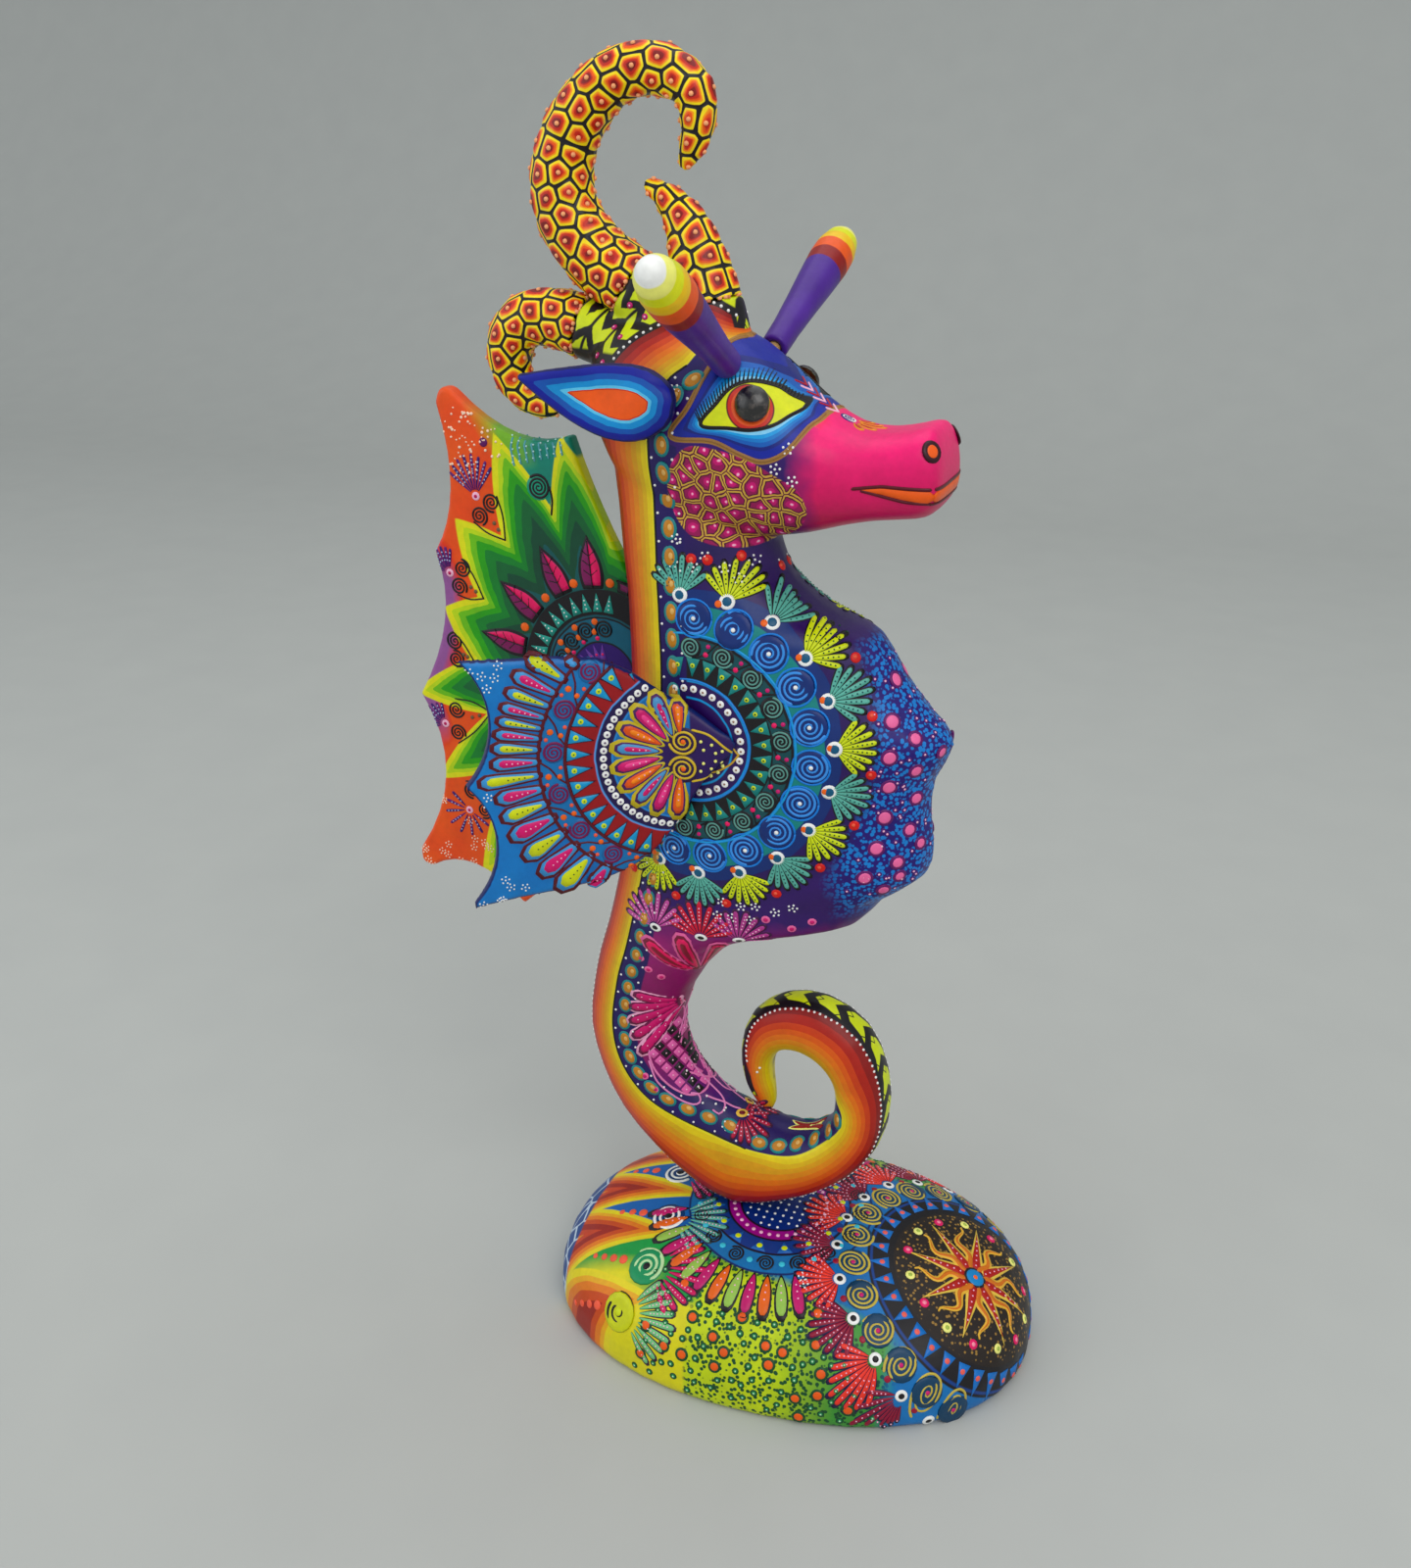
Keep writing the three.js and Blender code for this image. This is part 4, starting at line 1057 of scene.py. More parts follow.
flames = soil.mix(flames, soil.mix(linear(36, 70, 130), linear(190, 206, 220), net.below(0.05, 0.03)),
                  (x + shake).below(-97, 1))
tailEnd = (x + shake * 1.4 + (y - 0) * 0.12).below(-34, 2)
pocket = soil.mix(linear(24, 96, 170), linear(36, 150, 70), y.below(-36, 2))
pocket = soil.mix(pocket, linear(214, 206, 60), y.below(-62, 3).most(y.below(-50, 8) * x.below(-52, 20)))
paint = soil.mix(paint, soil.mix(pocket, flames, tongue.above(0, 0.5)),
                 tailEnd.most(tongue.below(0, 0.5) * x.below(-26, 6)))
# round the figure's foot
for limit, colour in ((60, None), (43, linear(20, 40, 96)), (42, linear(30, 110, 170)), (33, tint["black"]),
                      (32, linear(28, 60, 130)), (25, tint["black"]),
                      (24, linear(150, 36, 130)), (19, tint["black"]), (18, linear(30, 50, 120))):
    if colour is not None:
        paint = soil.mix(paint, colour, toStand.below(limit, 0.5))
# the sun
for limit, colour in ((49.4, tint["black"]), (48.2, linear(20, 60, 130)), (47, tint["black"]),
                      (37.6, linear(30, 20, 14))):
    paint = soil.mix(paint, colour, toSun.below(limit, 0.5))
grit = Wire(soil, soil.cells(2.1, spot, flat=False).outputs["Distance"])
paint = soil.mix(paint, linear(150, 116, 60), toSun.below(36.6, 0.4) * grit.below(0.3, 0.08))
base.data.materials.append(soil.finish(paint, None, 0.00015))

random.seed(21)
down = Frame((-forward, 0, 60), (0, 0, 1), (0, 1, 0))
b = Brush("base_top_brushwork", base, "figure", [down], 60)
at = lambda cx, cy, r, deg: (cx + r * math.cos(math.radians(deg)), cy + r * math.sin(math.radians(deg)))
for k in range(34):
    b.dot(*at(px, py, 21.5, k * 360 / 34), 1.0, tint["palePink"], 0.4)
for k in range(16):
    deg = k * 22.5
    b.wedge(*at(px, py, 31.6, deg), math.radians(deg + 180), 0, 6, 7.6, linear(36, 96, 170))
    b.dot(*at(px, py, 29, deg), 1.5, tint["lime"], 0.5)
    b.spiral(*at(px, py, 37.5, deg + 9), 3.9, tint["black"], 2.6, k, 1.0)
    b.dot(*at(px, py, 37.5, deg + 20), 1.5, linear(80, 190, 210), 0.45)
for k in range(46):
    deg = k * 360 / 46
    if 200 < deg < 300 or 60 < deg < 130:
        b.petal(px, py, math.radians(deg), 43.5, 60, 7.2, tint["black"], 0.2, 0.7)
        b.petal(px, py, math.radians(deg), 44.5, 58.4, 5.4,
                (linear(226, 110, 60), linear(150, 190, 90), linear(190, 50, 110))[k % 3], 0.4, 0.7)
        for q in (48, 51, 54):
            b.dot(*at(px, py, q, deg), 0.5, tint["palePink"], 0.7)
for cx, cy, colour, fins in ((-54, -24, tint["white"], "sea"), (-61, 7, tint["white"], "rose"),
                             (-58, 34, tint["paleYellow"], "sea")):
    b.dot(cx, cy, 8.2, linear(20, 60, 110), 0.15)
    b.spiral(cx, cy, 7.6, colour, 2.6, cx, 1.7)
    b.dot(cx, cy, 1.9, tint["black"], 0.6)
    b.fan(cx + 3, cy, 0, 1.7, 9, 8.4, 25, 2.8, [tint[fins]], linear(20, 50, 60), tint["palePink"])
    for q in range(3):
        b.dot(cx - 13 - 5.5 * q, cy + 0.5, 2.3 - 0.4 * q, tint["coral"], 0.4)
nearBoard = Frame((-56 - forward, -60, 26), (-0.22, -0.66, 0.72), (0, 1, 0.3))
b.frames = [nearBoard]
for cx, cy, colour, under, fins in ((-53, -51, linear(190, 226, 170), linear(40, 140, 90),
                                     linear(206, 50, 100)),
                                    (-60, -67, tint["black"], linear(200, 206, 60), linear(120, 190, 130))):
    spot_ = b.land(down, cx, cy)
    if spot_ is not None:
        qx, qy = nearBoard.flatten(spot_[0])
        b.dot(qx, qy, 8.8, under, 0.15)
        b.spiral(qx, qy, 8.2, colour, 2.8, cx, 1.8)
        b.dot(qx, qy, 1.9, tint["black"] if colour != tint["black"] else tint["lime"], 0.6)
        b.fan(qx + 3, qy, -0.12, 1.8, 9, 8.8, 25, 2.9, [fins], linear(50, 20, 50), tint["palePink"])
        for q in range(4):
            b.dot(qx - 13 - 5.5 * q, qy + 1.5, 2.3 - 0.3 * q, tint["coral"], 0.4)
b.frames = [down]
for _n in range(60):
    cx, cy = random.uniform(-8, 34), random.uniform(-44, 44)
    if math.hypot(cx - sx, cy - sy) > 76 and math.hypot(cx - px, cy - py) > 44:
        b.cluster(cx, cy, tint["white"], 1.9, 0.6, random.random())
for row in range(-4, 5):
    for column in range(-4, 5):
        if math.hypot(row, column) < 4.4:
            b.dot(px + row * 4, py + column * 4, 0.75, tint["white"], 0.4)
b.done(brushPaint)

# the meadow's ringed dots, on the sloping sides
for sideName, lean in (("near", -1), ("far", 1)):
    b = Brush("base_" + sideName + "_dots", base, "figure",
              [Frame((-forward, 0, 0), (0, lean * 0.72, 0.7), (0, -lean, 1), flip=lean > 0)], 120)
    random.seed(31)
    taken = []
    for _n in range(1500):
        cx, cy, size = random.uniform(-60, 60), random.uniform(-66,
                30), random.choice((3.0, 3.2, 1.8, 1.6, 1.7))
        hit = b.land(b.frames[0], cx, cy)
        if hit is None or any(math.hypot(cx - a, cy - c) < size + s + 0.7 for a, c, s in taken):
            continue
        place = hit[0] * 1000
        if abs(place.y) < 45 or (Vector(mound["sun"])
                - place).length < 74 or place.z < 5 or math.hypot(place.x - px,
                        place.y - py) < 60 or place.x < -50:
            continue
        taken.append((cx, cy, size))
        b.dot(cx, cy, size, linear(10, 70, 36), 0.22)
        b.dot(cx, cy, size * 0.66, linear(232, 92, 30) if size > 2.5 else linear(20, 130, 70), 0.42)
        if size < 2.5:
            b.dot(cx, cy, size * 0.3, linear(190, 226, 190), 0.6)
    b.done(brushPaint)

sunBoard = Frame((sx - forward, sy, sz), (0.5, -0.16, 0.82), (0, 1, 0))
b = Brush("base_sun_brushwork", base, "figure", [sunBoard], 40)
at = lambda r, deg: (r * math.cos(math.radians(deg)), r * math.sin(math.radians(deg)))
for k in range(30):
    deg = k * 12
    b.wedge(*at(38.6, deg), math.radians(deg), 0, 8.2, 6.6, linear(30, 110, 190))
    b.dot(*at(41.4, deg), 1.35, linear(232, 110, 100), 0.5)
for k in range(14):
    b.dot(*at(30.5, k * 25.7 + 8), 2.3, (tint["paleYellow"], linear(226, 60, 110))[k % 2], 0.45)
    b.dot(*at(30.5, k * 25.7 + 8), 1.2, (linear(170, 190, 90), linear(246, 150, 170))[k % 2], 0.6)
for k in range(8):
    deg = math.radians(k * 45 + 10)
    b.wedge(0, 0, deg, 3, 30, 9.5, linear(222, 190, 90), 0.3)
    b.wedge(0, 0, deg, 3, 26.5, 6.6, linear(170, 24, 20), 0.46)
    for q in range(7, 25, 3):
        b.dot(q * math.cos(deg), q * math.sin(deg), 0.5, tint["palePink"], 0.7)
    bend = deg + math.radians(22.5)
    wave = [(q * math.cos(bend + 0.13 * math.sin(q * 0.42)), q * math.sin(bend + 0.13 * math.sin(q * 0.42)))
            for q in np.arange(5, 29, 1.5)]
    b.stroke(wave, lambda s: 5.2 * (1 - s) + 0.9, linear(226, 178, 80), 0.34)
    b.stroke(wave[:-2], lambda s: 3.0 * (1 - s) + 0.3, linear(206, 110, 30), 0.5)
# spirals and fan-tailed fish round the sun, kept at an even distance from it over the slopes
sunPoint = Vector(mound["sun"]) * mm


def sunSpot(far, deg):
    for r in np.arange(24, far + 1, 0.5):
        hit = b.land(sunBoard, *at(r, deg))
        if hit is None:
            return None
        if (hit[0] - sunPoint).length >= far * mm:
            return at(r, deg)
    return None


for k in range(13):
    deg = 84 + 17.4 * k
    first, second, third = sunSpot(55.2, deg), sunSpot(62.5, deg + 8.7), sunSpot(63, deg)
    if first is not None:
        b.dot(*first, 7.4, linear(20, 60, 90), 0.15)
        b.spiral(*first, 6.9, linear(196, 176, 84), 3.2, k * 0.9, 1.25)
        b.dot(*first, 1.2, tint["rose"], 0.5)
    if third is not None:
        b.dot(*third, 1.6, linear(150, 20, 50), 0.4)
    if second is not None:
        b.fan(*second, math.radians(deg + 8.7), 2.1, 9, 3.2, 17, 2.7,
              [(linear(140, 16, 50), linear(232, 84, 76))[k % 2]], linear(30, 20, 60), tint["palePink"])
        b.dot(*second, 2.9, tint["white"], 0.4)
        b.dot(*second, 1.7, tint["black"], 0.6)
b.dot(0, 0, 5.6, tint["black"], 0.5)
b.dot(0, 0, 4.6, linear(40, 130, 190), 0.75)
b.dot(0, 0, 1.5, tint["orange"], 0.95)
b.done(brushPaint)
print("mound")

bare = Shader("bare_copal_wood", 0.6, 0.0)
rings = bare.noise(1.2, 4, bare.point(bare.x * 0.1, bare.y, bare.z))
barePaint = bare.finish(bare.mix(linear(206, 172, 122), linear(168, 128, 84), rings), rings, 0.0001,
                        (0.55, 0.75))

# brushwork on the body's flanks
spineLine, _s = resampled(outer[56:-9], 2.9)
stepAlong = np.gradient(spineLine, axis=0)
spineOut = np.stack([stepAlong[:, 1], -stepAlong[:, 0]], 1) / np.hypot(*stepAlong.T)[:, None] * -1
crownPearls, _s = resampled(outer[:62], 2.6)


for sideName, board in zip(("right", "left"), flankBoards()):
    random.seed(4)
    b = Brush("body_brushwork_" + sideName, body, "figure", [board])
    cx, cz = carving["mandala"]
    at = lambda r, deg: (cx + r * math.cos(math.radians(deg)), cz + r * math.sin(math.radians(deg)))
    # outer spirals
    for k in range(11):
        deg = 89 - 18.8 * k
        px, pz = at(49, deg)
        b.dot(px, pz, 7.2, tint["deepBlue"], 0.18)
        b.spiral(px, pz, 6.4, linear(84, 150, 226), 3.1, k * 1.3, 1.15)
        b.ring(px, pz, 7.2, 0.9, linear(60, 130, 214), 0.3)
        b.dot(px, pz, 1.0, tint["white"], 0.6)
        ox, oz = at(56, deg - 9.4)
        b.dot(ox, oz, 1.5, tint["orange"], 0.5)
    b.ring(cx, cz, 43, 1.0, tint["sky"], 0.3, (-112, 100))
    # fans
    for k in range(12):
        deg = 95 - 18.2 * k
        px, pz = at(57.5, deg)
        colour = (tint["sea"], tint["lime"])[k % 2]
        b.fan(px, pz, math.radians(deg), 1.9, 8, 2.5, 14.5, 2.3, [colour], tint["black"],
              tint["darkGreen"] if k % 2 else tint["darkTeal"])
        b.dot(px, pz, 3.2, tint["white"], 0.34)
        b.dot(px, pz, 2.1, linear(12, 84, 120), 0.55)
        rx, rz = at(71, deg - 9)
        b.dot(rx, rz, 2.2, tint["red"], 0.4)
        b.dot(rx - 0.3, rz + 0.3, 0.9, tint["coral"], 0.7)
    # scroll ring
    for k in range(10):
        deg = 90 - 20.5 * k
        px, pz = at(37.7, deg)
        b.dot(px, pz, 4.7, tint["black"], 0.16)
        b.spiral(px, pz, 4.0, linear(96, 150, 140), 2.6, k + 1.0, 0.85)
        qx, qz = at(36.2, deg - 10)
        b.dot(qx, qz, 1.2, tint["hotPink"], 0.45)
        qx, qz = at(39.6, deg - 10.6)
        b.dot(qx, qz, 1.0, tint["rose"], 0.45)
        b.stroke([at(34.4, deg - 4), at(36, deg - 10), at(41.8, deg - 15)], 0.7, tint["black"], 0.3)
    for k in range(18):
        deg = 100 - 11.8 * k
        b.wedge(*at(33.6, deg), math.radians(deg + 180), 0, 7.2, 6.2, tint["teal"])
        b.dot(*at(30.8, deg), 1.15, tint["lime"], 0.5)
        b.dot(*at(30.8, deg), 0.5, tint["darkGreen"], 0.65)
    b.ring(cx, cz, 25, 0.8, linear(70, 140, 220), 0.3, (-110, 100))
    for k in range(20):
        deg = 108 - 11 * k
        b.dot(*at(21.5, deg), 1.55, tint["white"], 0.4)
        b.dot(*at(21.5, deg), 0.6, linear(150, 110, 90), 0.6)
    # heart and twin spirals
    for up in (1, -1):
        b.spiral(-47, 289 + up * 6, 5.2, tint["gold"], 2.6, 0.5 * up, 1.0, up)
        b.dot(-47, 289 + up * 6, 1.3, tint["orange"], 0.5)
        heart = smoothLine([(-41, 289 + up * 9), (-36, 289 + up * 8), (-30, 289 + up * 4), (-26.5, 289.5)], 6)
        b.stroke(heart, 0.9, tint["gold"])
        for k, (px, pz) in enumerate([(-42, 13), (-38, 10), (-35, 8), (-38, 4.5), (-33, 5)]):
            b.dot(px, 289 + up * pz, 0.9, tint["paleYellow"], 0.45)
    # belly dots
    for k in range(9):
        pz = 345 - 13 * k
        for column, px in enumerate((26, 35, 43)):
            wide = math.sqrt(max(0, 1 - ((pz - 288) / 68) ** 2))
            bx, bz = 4 + px * wide, pz - (column % 2) * 6.5
            b.dot(bx, bz, 3.7 - column * 0.3, linear(96, 16, 96), 0.2)
            b.dot(bx, bz, 2.6 - column * 0.3, tint["pink"], 0.42)
            for _n in range(4):
                sx, sz = bx + random.uniform(-7, 7), bz + random.uniform(-7, 7)
                b.dot(sx, sz, 1.25, linear(70, 20, 110), 0.2)
                b.dot(sx, sz, 0.55, tint["palePink"], 0.45)
    # ovals beside the band
    lane = smoothLine(innerRun[4:21], 12)
    pathway, _s = resampled(lane, 0.5)
    stepAlong = np.gradient(pathway, axis=0)
    leftward = np.stack([-stepAlong[:, 1], stepAlong[:, 0]], 1) / np.hypot(*stepAlong.T)[:, None]
    for k in range(0, len(pathway), 21):
        (px, pz), (nx, nz) = pathway[k], leftward[k]
        turn = math.atan2(stepAlong[k][1], stepAlong[k][0])
        ox, oz = px + nx * 5.6, pz + nz * 5.6
        b.dot(ox, oz, 4.6, linear(40, 128, 130), 0.22, 0.72, turn)
        b.dot(ox, oz, 3.5, linear(190, 130, 60), 0.4, 0.66, turn)
        b.dot(ox + 0.5, oz + 0.5, 1.5, linear(222, 178, 110), 0.6, 0.7, turn)
        j = min(k + 10, len(pathway) - 1)
        for out in (1.3, 9.8):
            qx, qz = pathway[j] + leftward[j] * out
            b.dot(qx, qz, 0.6, tint["white"], 0.4)
    edgeLine = pathway[::4]
    b.stroke(edgeLine, 0.8, tint["black"], 0.22, 2.0)
    b.done(brushPaint)

    b = Brush("body_trim_" + sideName, body, "figure", [board])
    # fans, drops and shell on the trunk above the tail
    for cx, cz, lean, colour, size in ((-65, 203, 100, linear(196, 90, 160), 17),
            (-44, 203, 90, linear(206, 44, 64), 17), (-28, 204, 74, linear(176, 70, 140), 15)):
        b.fan(cx, cz, math.radians(lean), 2.4, 9, 3, size, 2.5, [colour], linear(60, 10, 60),
              tint["palePink"])
        b.dot(cx, cz, 2.9, tint["white"], 0.34, 0.7)
        b.dot(cx, cz, 1.7, tint["black"], 0.55, 0.7)
    for tx, tz in ((-69, 194), (-53, 200), (-37, 199)):
        length, lean = math.hypot(tx + 52, tz - 176), math.atan2(tz - 176, tx + 52)
        for near, less, width, colour in ((0, 0, 9.8, linear(226, 110, 160)),
                (1, 0.8, 8.2, linear(120, 10, 50)), (3, 2, 6.4, linear(226, 40, 96)),
                (7, 3.4, 3.0, linear(130, 10, 40))):
            b.petal(-52, 176, lean, near, length - less, width, colour, 0.2 + 0.12 * less)
    for tx, tz in ((-78, 162), (-80.5, 155), (-81, 147), (-80, 139), (-77, 131)):
        length, lean = math.hypot(tx + 59, tz - 157), math.atan2(tz - 157, tx + 59)
        for near, less, width, colour in ((0, 0, 7.8, linear(236, 170, 200)),
                (1, 0.7, 6.4, linear(110, 14, 70)), (3, 1.6, 4.6, linear(206, 40, 110))):
            b.petal(-59, 157, lean, near, length - less, width, colour, 0.2 + 0.14 * less)
        for q in (0.5, 0.7, 0.88):
            b.dot(-59 + (tx + 59) * q, 157 + (tz - 157) * q, 0.4, tint["palePink"], 0.6)
    # a leaf of diamonds and two scrolls, drawn on a board that faces half forward
    shoulder = Frame((-55, 8 * board.normal.y, 118), (0.42, 0.8 * board.normal.y, 0.44))
    if board.normal.y > 0:
        shoulder.right = -shoulder.right
    onto = lambda *spots: [shoulder.flatten(inRow(sx, sy * -board.normal.y, sz)) for sx, sy, sz in spots]
    b.frames = [shoulder]
    leafEdge = smoothLine(onto((-62, -5, 152), (-69, -13, 146), (-74, -15, 136), (-73, -15, 124),
            (-65, -15, 115), (-56, -12, 110), (-50, -6, 111), (-52, 1, 115), (-59, 4, 126), (-63, 0, 141)),
            6, True)
    b.stroke(np.vstack([leafEdge, leafEdge[:1]]), 1.1, linear(226, 130, 180), 0.3)
    for row in range(-9, 10):
        for column in range(-9, 10):
            cx, cz = (row + column) * 2.9 - 4, (row - column) * 3.5 + 8
            if insideOf(leafEdge, np.array([[cx, cz]]))[0] > 1.2:
                b.stroke([(cx - 2.4, cz), (cx, cz), (cx + 2.4, cz)],
                        lambda q: 5.6 * (1 - abs(2 * q - 1)) + 0.3,
                        (linear(222, 110, 170), tint["black"])[row % 2], 0.3, 0.6, False)
                b.dot(cx, cz, 0.45, tint["palePink"], 0.5)
    for scroll in (((-74, -16, 126), (-70, -16, 116), (-61, -15, 109), (-54, -13, 106), (-51, -11, 107),
                    (-52.5, -10, 110), (-55.5, -11, 110.5)),
                   ((-60, -4, 124), (-52, -3, 114), (-44, -3, 107), (-41, -6, 104), (-42, -10, 102),
                    (-45, -10.5, 103.5)),
                   ((-63, -1, 148), (-60, 3, 130), (-52, 4, 116), (-42, 3, 107), (-34, 2, 103))):
        b.stroke(smoothLine(onto(*scroll), 6), 0.95, linear(226, 140, 190), 0.34)
    # the last ovals, the red fish and two drops on the trunk's shoulder
    for sx, sy, sz in ((-22, -12.4, 93.4), (-13, -11.4, 93.6), (-4.5, -10.4, 96.5), (3, -9.6, 100.6),
                       (9, -9, 107), (12, -9, 114)):
        (cx, cz), (dx, dz) = onto((sx, sy, sz),
                (sx + 1.5, sy, sz + (0, 0.4, 1.2, 2.5, 4, 9)[(-22, -13, -4.5, 3, 9, 12).index(sx)]))
        turn = math.atan2(dz - cz, dx - cx)
        b.dot(cx, cz, 4.4, linear(40, 128, 130), 0.22, 0.8, turn)
        b.dot(cx, cz, 3.3, linear(190, 130, 60), 0.4, 0.74, turn)
        b.dot(cx + 0.4, cz + 0.4, 1.4, linear(222, 178, 110), 0.6, 0.8, turn)
    (cx, cz), = onto((-33, -5, 101.5))
    b.fan(cx, cz, -0.75, 2.6, 9, 3, 13, 2.2, [linear(176, 24, 60)], linear(60, 10, 50), tint["palePink"])
    b.dot(cx, cz, 3.0, linear(230, 190, 90), 0.4, 0.75)
    b.dot(cx, cz, 1.8, linear(110, 20, 30), 0.6, 0.75)
    for spots in (((-11, -3, 98), (-3, -1, 99.5)), ((-3, -3, 99.5), (4, -2, 103))):
        (cx, cz), (dx, dz) = onto(*spots)
        lean, length = math.atan2(dz - cz, dx - cx), math.hypot(dx - cx, dz - cz)
        b.petal(cx, cz, lean, 0, length + 1, 4.6, tint["paleYellow"], 0.3)
        b.petal(cx, cz, lean, 1, length + 0.4, 3.0, linear(150, 40, 40), 0.45)
    b.frames = [board]
    for cx, cz in ((-74, 184), (-71, 178), (-66, 174), (-76, 118), (-71, 112), (-65, 108), (-16, 217),
                   (-6, 213), (2, 217)):
        b.dot(cx, cz, 2.0, tint["pink"], 0.3)
        b.dot(cx, cz, 1.2, tint["rose"], 0.45)
    for cx, cz in ((-38, 98), (-30, 216), (-34, 223), (-26, 222), (-20, 223), (-12, 221), (-5, 224),
                   (-36, 216), (-22, 216),
                   (-53, 424), (-11, 406), (-15, 399), (-9, 395), (-54, 370), (-43, 364), (-27, 362),
                   (-36, 360), (-20, 361), (-14, 356), (-31, 356), (-47, 360), (-2, 350), (-55, 361)):
        b.cluster(cx, cz, tint["white"], 1.7, 0.55, cx)
    for cx, cz in ((-48, 363), (-31, 364), (-12, 362), (-5, 352), (3, 346)):
        b.dot(cx, cz, 2.2, tint["red"], 0.35)
        b.dot(cx, cz, 1.1, tint["coral"], 0.55)
    # lashes, mouth and nostril
    lidLine, lidShare = resampled(almond[:31], 1.15)
    for (cx, cz), s in zip(lidLine, lidShare):
        b.stroke([(cx, cz), (cx + 3.2 * (s - 0.75), cz + 4.0)], lambda q: 0.75 * (1 - q) + 0.2,
                 tint["black"], 0.3, 0.9)
    b.stroke(np.vstack([almond, almond[:1]]), 1.0, tint["black"], 0.3, 1.2)
    b.stroke(np.vstack([diamond, diamond[:1]]), 1.3, linear(150, 110, 66), 0.34, 1.4)
    b.stroke([(15, 393), (22, 393), (30, 392), (38, 391.4)], lambda s: 0.6 + 4.2 * s ** 0.6,
             linear(240, 96, 34), 0.3, 1.2)
    b.stroke([(12, 393.2), (22, 394.6), (30, 394.4), (38.5, 394.2)], 1.3, tint["maroon"], 0.45, 1.2)
    b.stroke([(15, 392.6), (22, 391.2), (30, 389.6), (38.5, 389)], 1.1, tint["maroon"], 0.45, 1.2)
    b.frames = [Frame((38.3, 18.5 * board.normal.y, 407), (0.5, board.normal.y * 0.85, 0.1))]
    b.dot(0, 0, 4.1, linear(50, 6, 20), 0.3)
    b.dot(0, 0, 2.6, linear(240, 96, 34), 0.5)
    b.frames = [board]
    # white pearls along the spine's two edges
    for k in range(0, len(spineLine) - 1, 1):
        (cx, cz), (nx, nz) = spineLine[k], spineOut[k]
        hit = b.tree.ray_cast(inRow(cx + nx * 12, board.normal.y * (carving["stripHalf"] + 0.4),
                                    cz + nz * 12), Vector((-nx, 0, -nz)), 0.04)
        if hit[0] is not None:
            b.dome(board, hit[:2], 0.68, tint["white"], 0.4, 6, 1.0, 0.0)
    for cx, cz in crownPearls:
        b.dot(cx, cz, 0.68, tint["white"], 0.4)
    for k in range(18):
        ox, oz = crownPearls[min(6 + 2 * k, len(crownPearls) - 1)]
        lift_ = (5.2, 12.4)[k % 2]
        b.dot(ox - 0.25 * lift_, oz + 0.95 * lift_, 1.25, linear(190, 40, 110), 0.45)
        b.dot(ox - 0.25 * lift_, oz + 0.95 * lift_, 0.55, tint["palePink"], 0.6)
    b.done(brushPaint)

# beads in the middle of the antlers' scales
for name, centres in beadSpots.items():
    b = Brush(name.replace("carved", "beads"), bpy.data.objects[name], "figure", flankBoards())
    for spot in centres:
        b.speck(spot, 0.95, linear(248, 176, 130), 0.75)
    b.done(brushPaint)

# mouth across the front of the snout
b = Brush("snout_front_brushwork", body, "figure", [Frame((0, 0, 392), (1, 0, 0))], 90)
b.stroke([(-17, -0.6), (17, -0.6)], 4.4, linear(240, 96, 34), 0.3, 1.2)
for up, size in ((2.2, 1.3), (-3.2, 1.1)):
    b.stroke([(-18, up), (18, up)], size, tint["maroon"], 0.45, 1.2)
b.done(brushPaint)

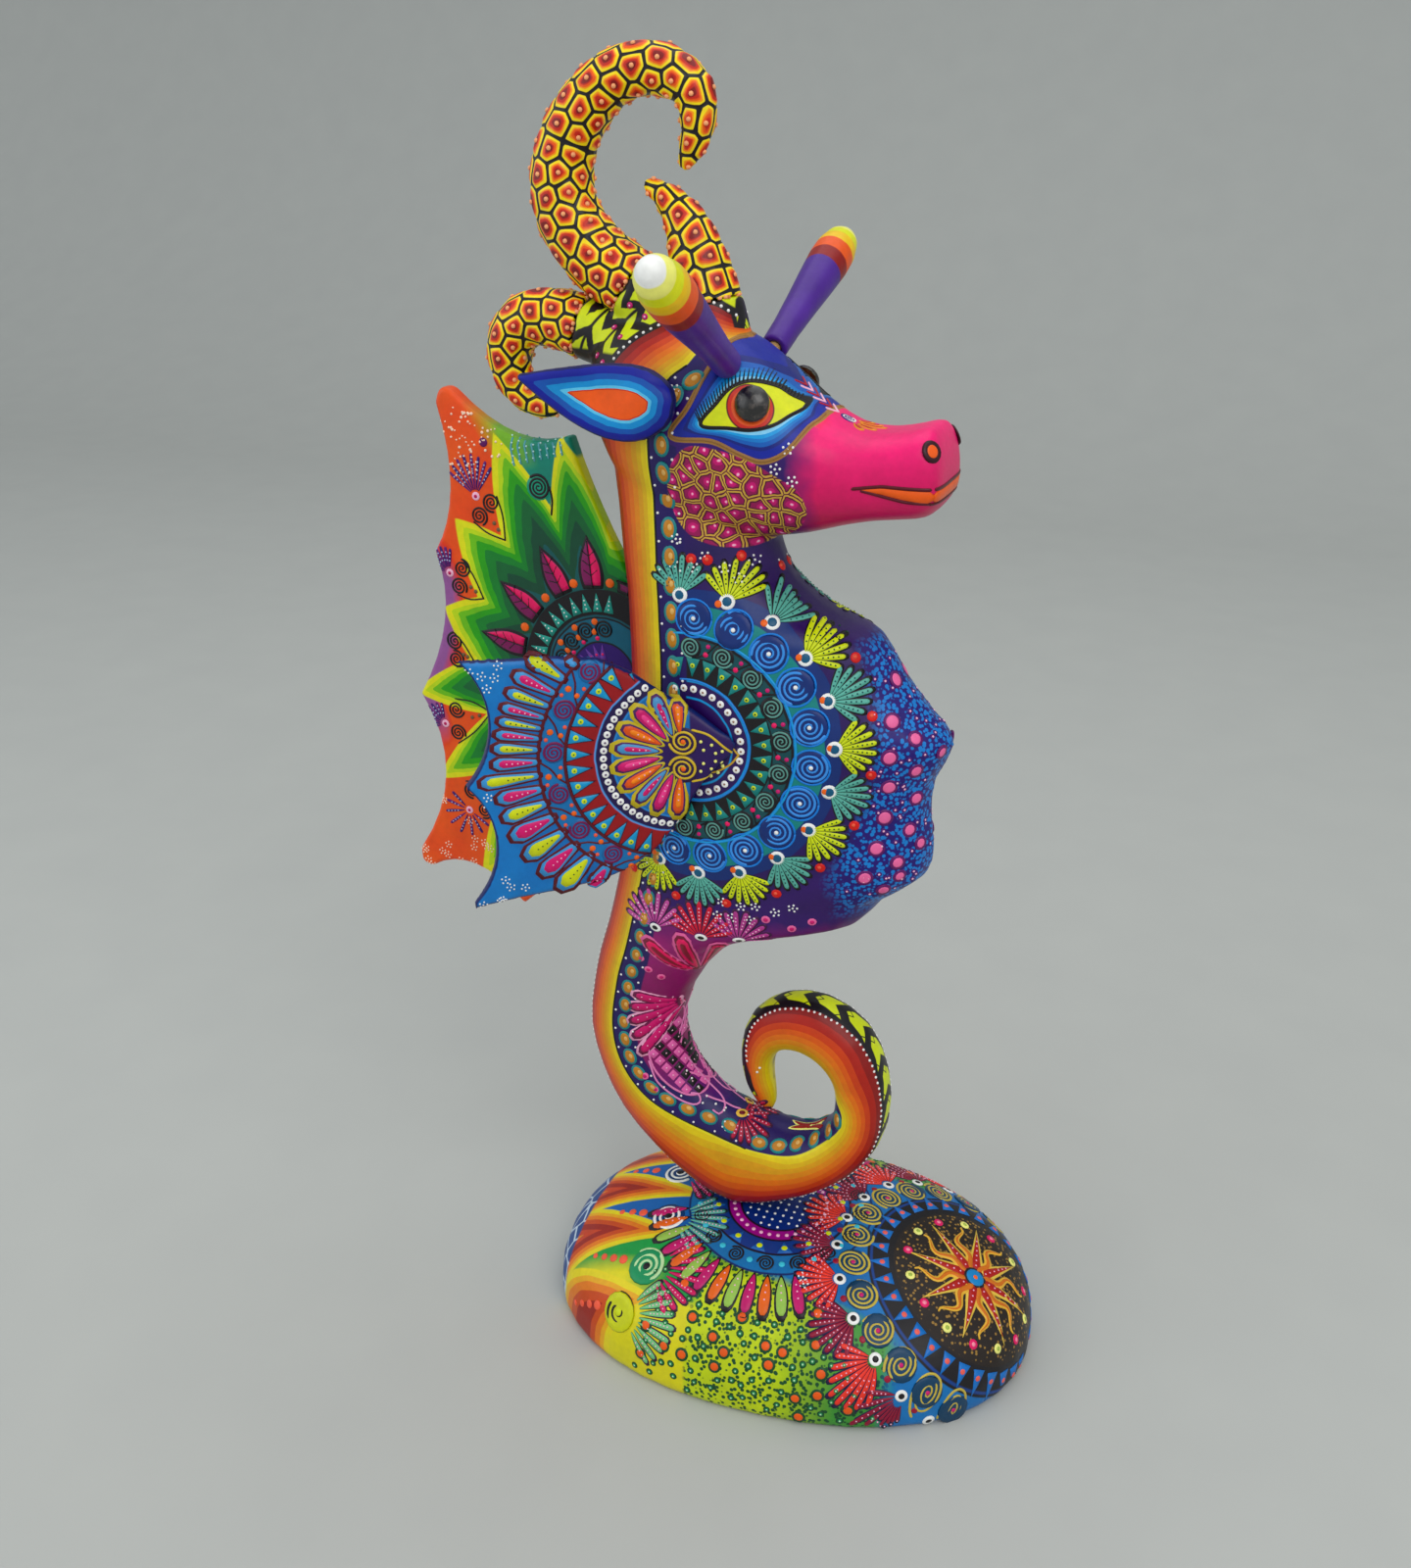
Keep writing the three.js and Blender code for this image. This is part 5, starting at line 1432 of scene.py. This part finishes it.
# chevrons, a scroll and petals down the bridge of the nose
bridge = Frame((-4, 0, 417), (0.62, 0, 0.78), (0, 1, 0))
b = Brush("nose_bridge_brushwork", body, "figure", [bridge])
for k in range(6):
    q = -13 + k * 3
    b.stroke([(q - 2.4, -4.2), (q + 1.2, 0), (q - 2.4, 4.2)], 1.2,
             (linear(170, 24, 50), tint["palePink"])[k % 2], 0.3, 0.9)
b.dot(7.5, 0, 3.4, tint["purple"], 0.3)
b.spiral(7.5, 0, 2.8, tint["white"], 2.2, 0, 0.8)
for k in range(5):
    lean = (k - 2) * 0.42
    b.petal(8, 0, lean, 4, 11.5 - abs(k - 2), 3.2, tint["amber"], 0.3)
    b.petal(8, 0, lean, 5, 10.5 - abs(k - 2), 1.6, linear(190, 40, 40), 0.45)
b.done(brushPaint)

for node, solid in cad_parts.items():
    if "peg" in node or "dowel" in node:
        solid.data.materials.clear()
        solid.data.materials.append(barePaint)

# floor and lights
floorMesh = bpy.data.meshes.new("floor")
sweep = [(-3, 0), (1.6, 0)] + [(1.6 + 1.2 * math.sin(a), 1.2 - 1.2 * math.cos(a))
                               for a in np.linspace(0.1, pi / 2, 12)] + [(2.8, 4)]
floorMesh.from_pydata([(side * 5, fy, fz) for fy, fz in sweep for side in (-1, 1)], [],
                      [(2 * k, 2 * k + 1, 2 * k + 3, 2 * k + 2) for k in range(len(sweep) - 1)])
floorMesh.polygons.foreach_set("use_smooth", [True] * len(floorMesh.polygons))
floor = bpy.data.objects.new("floor", floorMesh)
bpy.context.collection.objects.link(floor)
floorShader = Shader("pale_floor", 0.8, 0.0)
floorShader.feed(floorShader.surface.inputs["Base Color"],
                 floorShader.mix(linear(186, 188, 183), linear(180, 182, 178), floorShader.noise(60, 3)))
floorMesh.materials.append(floorShader.material)

world = bpy.data.worlds.new("studio")
bpy.context.scene.world = world
world.use_nodes = True
world.node_tree.nodes["Background"].inputs[0].default_value = (0.92, 0.96, 1.0, 1)
world.node_tree.nodes["Background"].inputs[1].default_value = 0.72


def softBox(name, place, aim, size, power, colour=(1, 1, 1)):
    lamp = bpy.data.lights.new(name, "AREA")
    lamp.shape = "RECTANGLE"
    lamp.size, lamp.size_y = size
    lamp.energy = power
    lamp.color = colour
    holder = bpy.data.objects.new(name, lamp)
    holder.location = place
    holder.rotation_euler = (Vector(aim) - Vector(place)).to_track_quat("-Z", "Y").to_euler()
    bpy.context.collection.objects.link(holder)


softBox("key", (0.9, -1.0, 1.5), (0, 0, 0.28), (1.2, 1.2), 11, (1, 0.98, 0.95))
softBox("fill", (-1.3, -0.9, 0.9), (0, 0, 0.25), (1.4, 1.4), 5, (0.94, 0.97, 1))
softBox("top", (0, 0.4, 1.8), (0, 0, 0.2), (1.6, 1.6), 6)
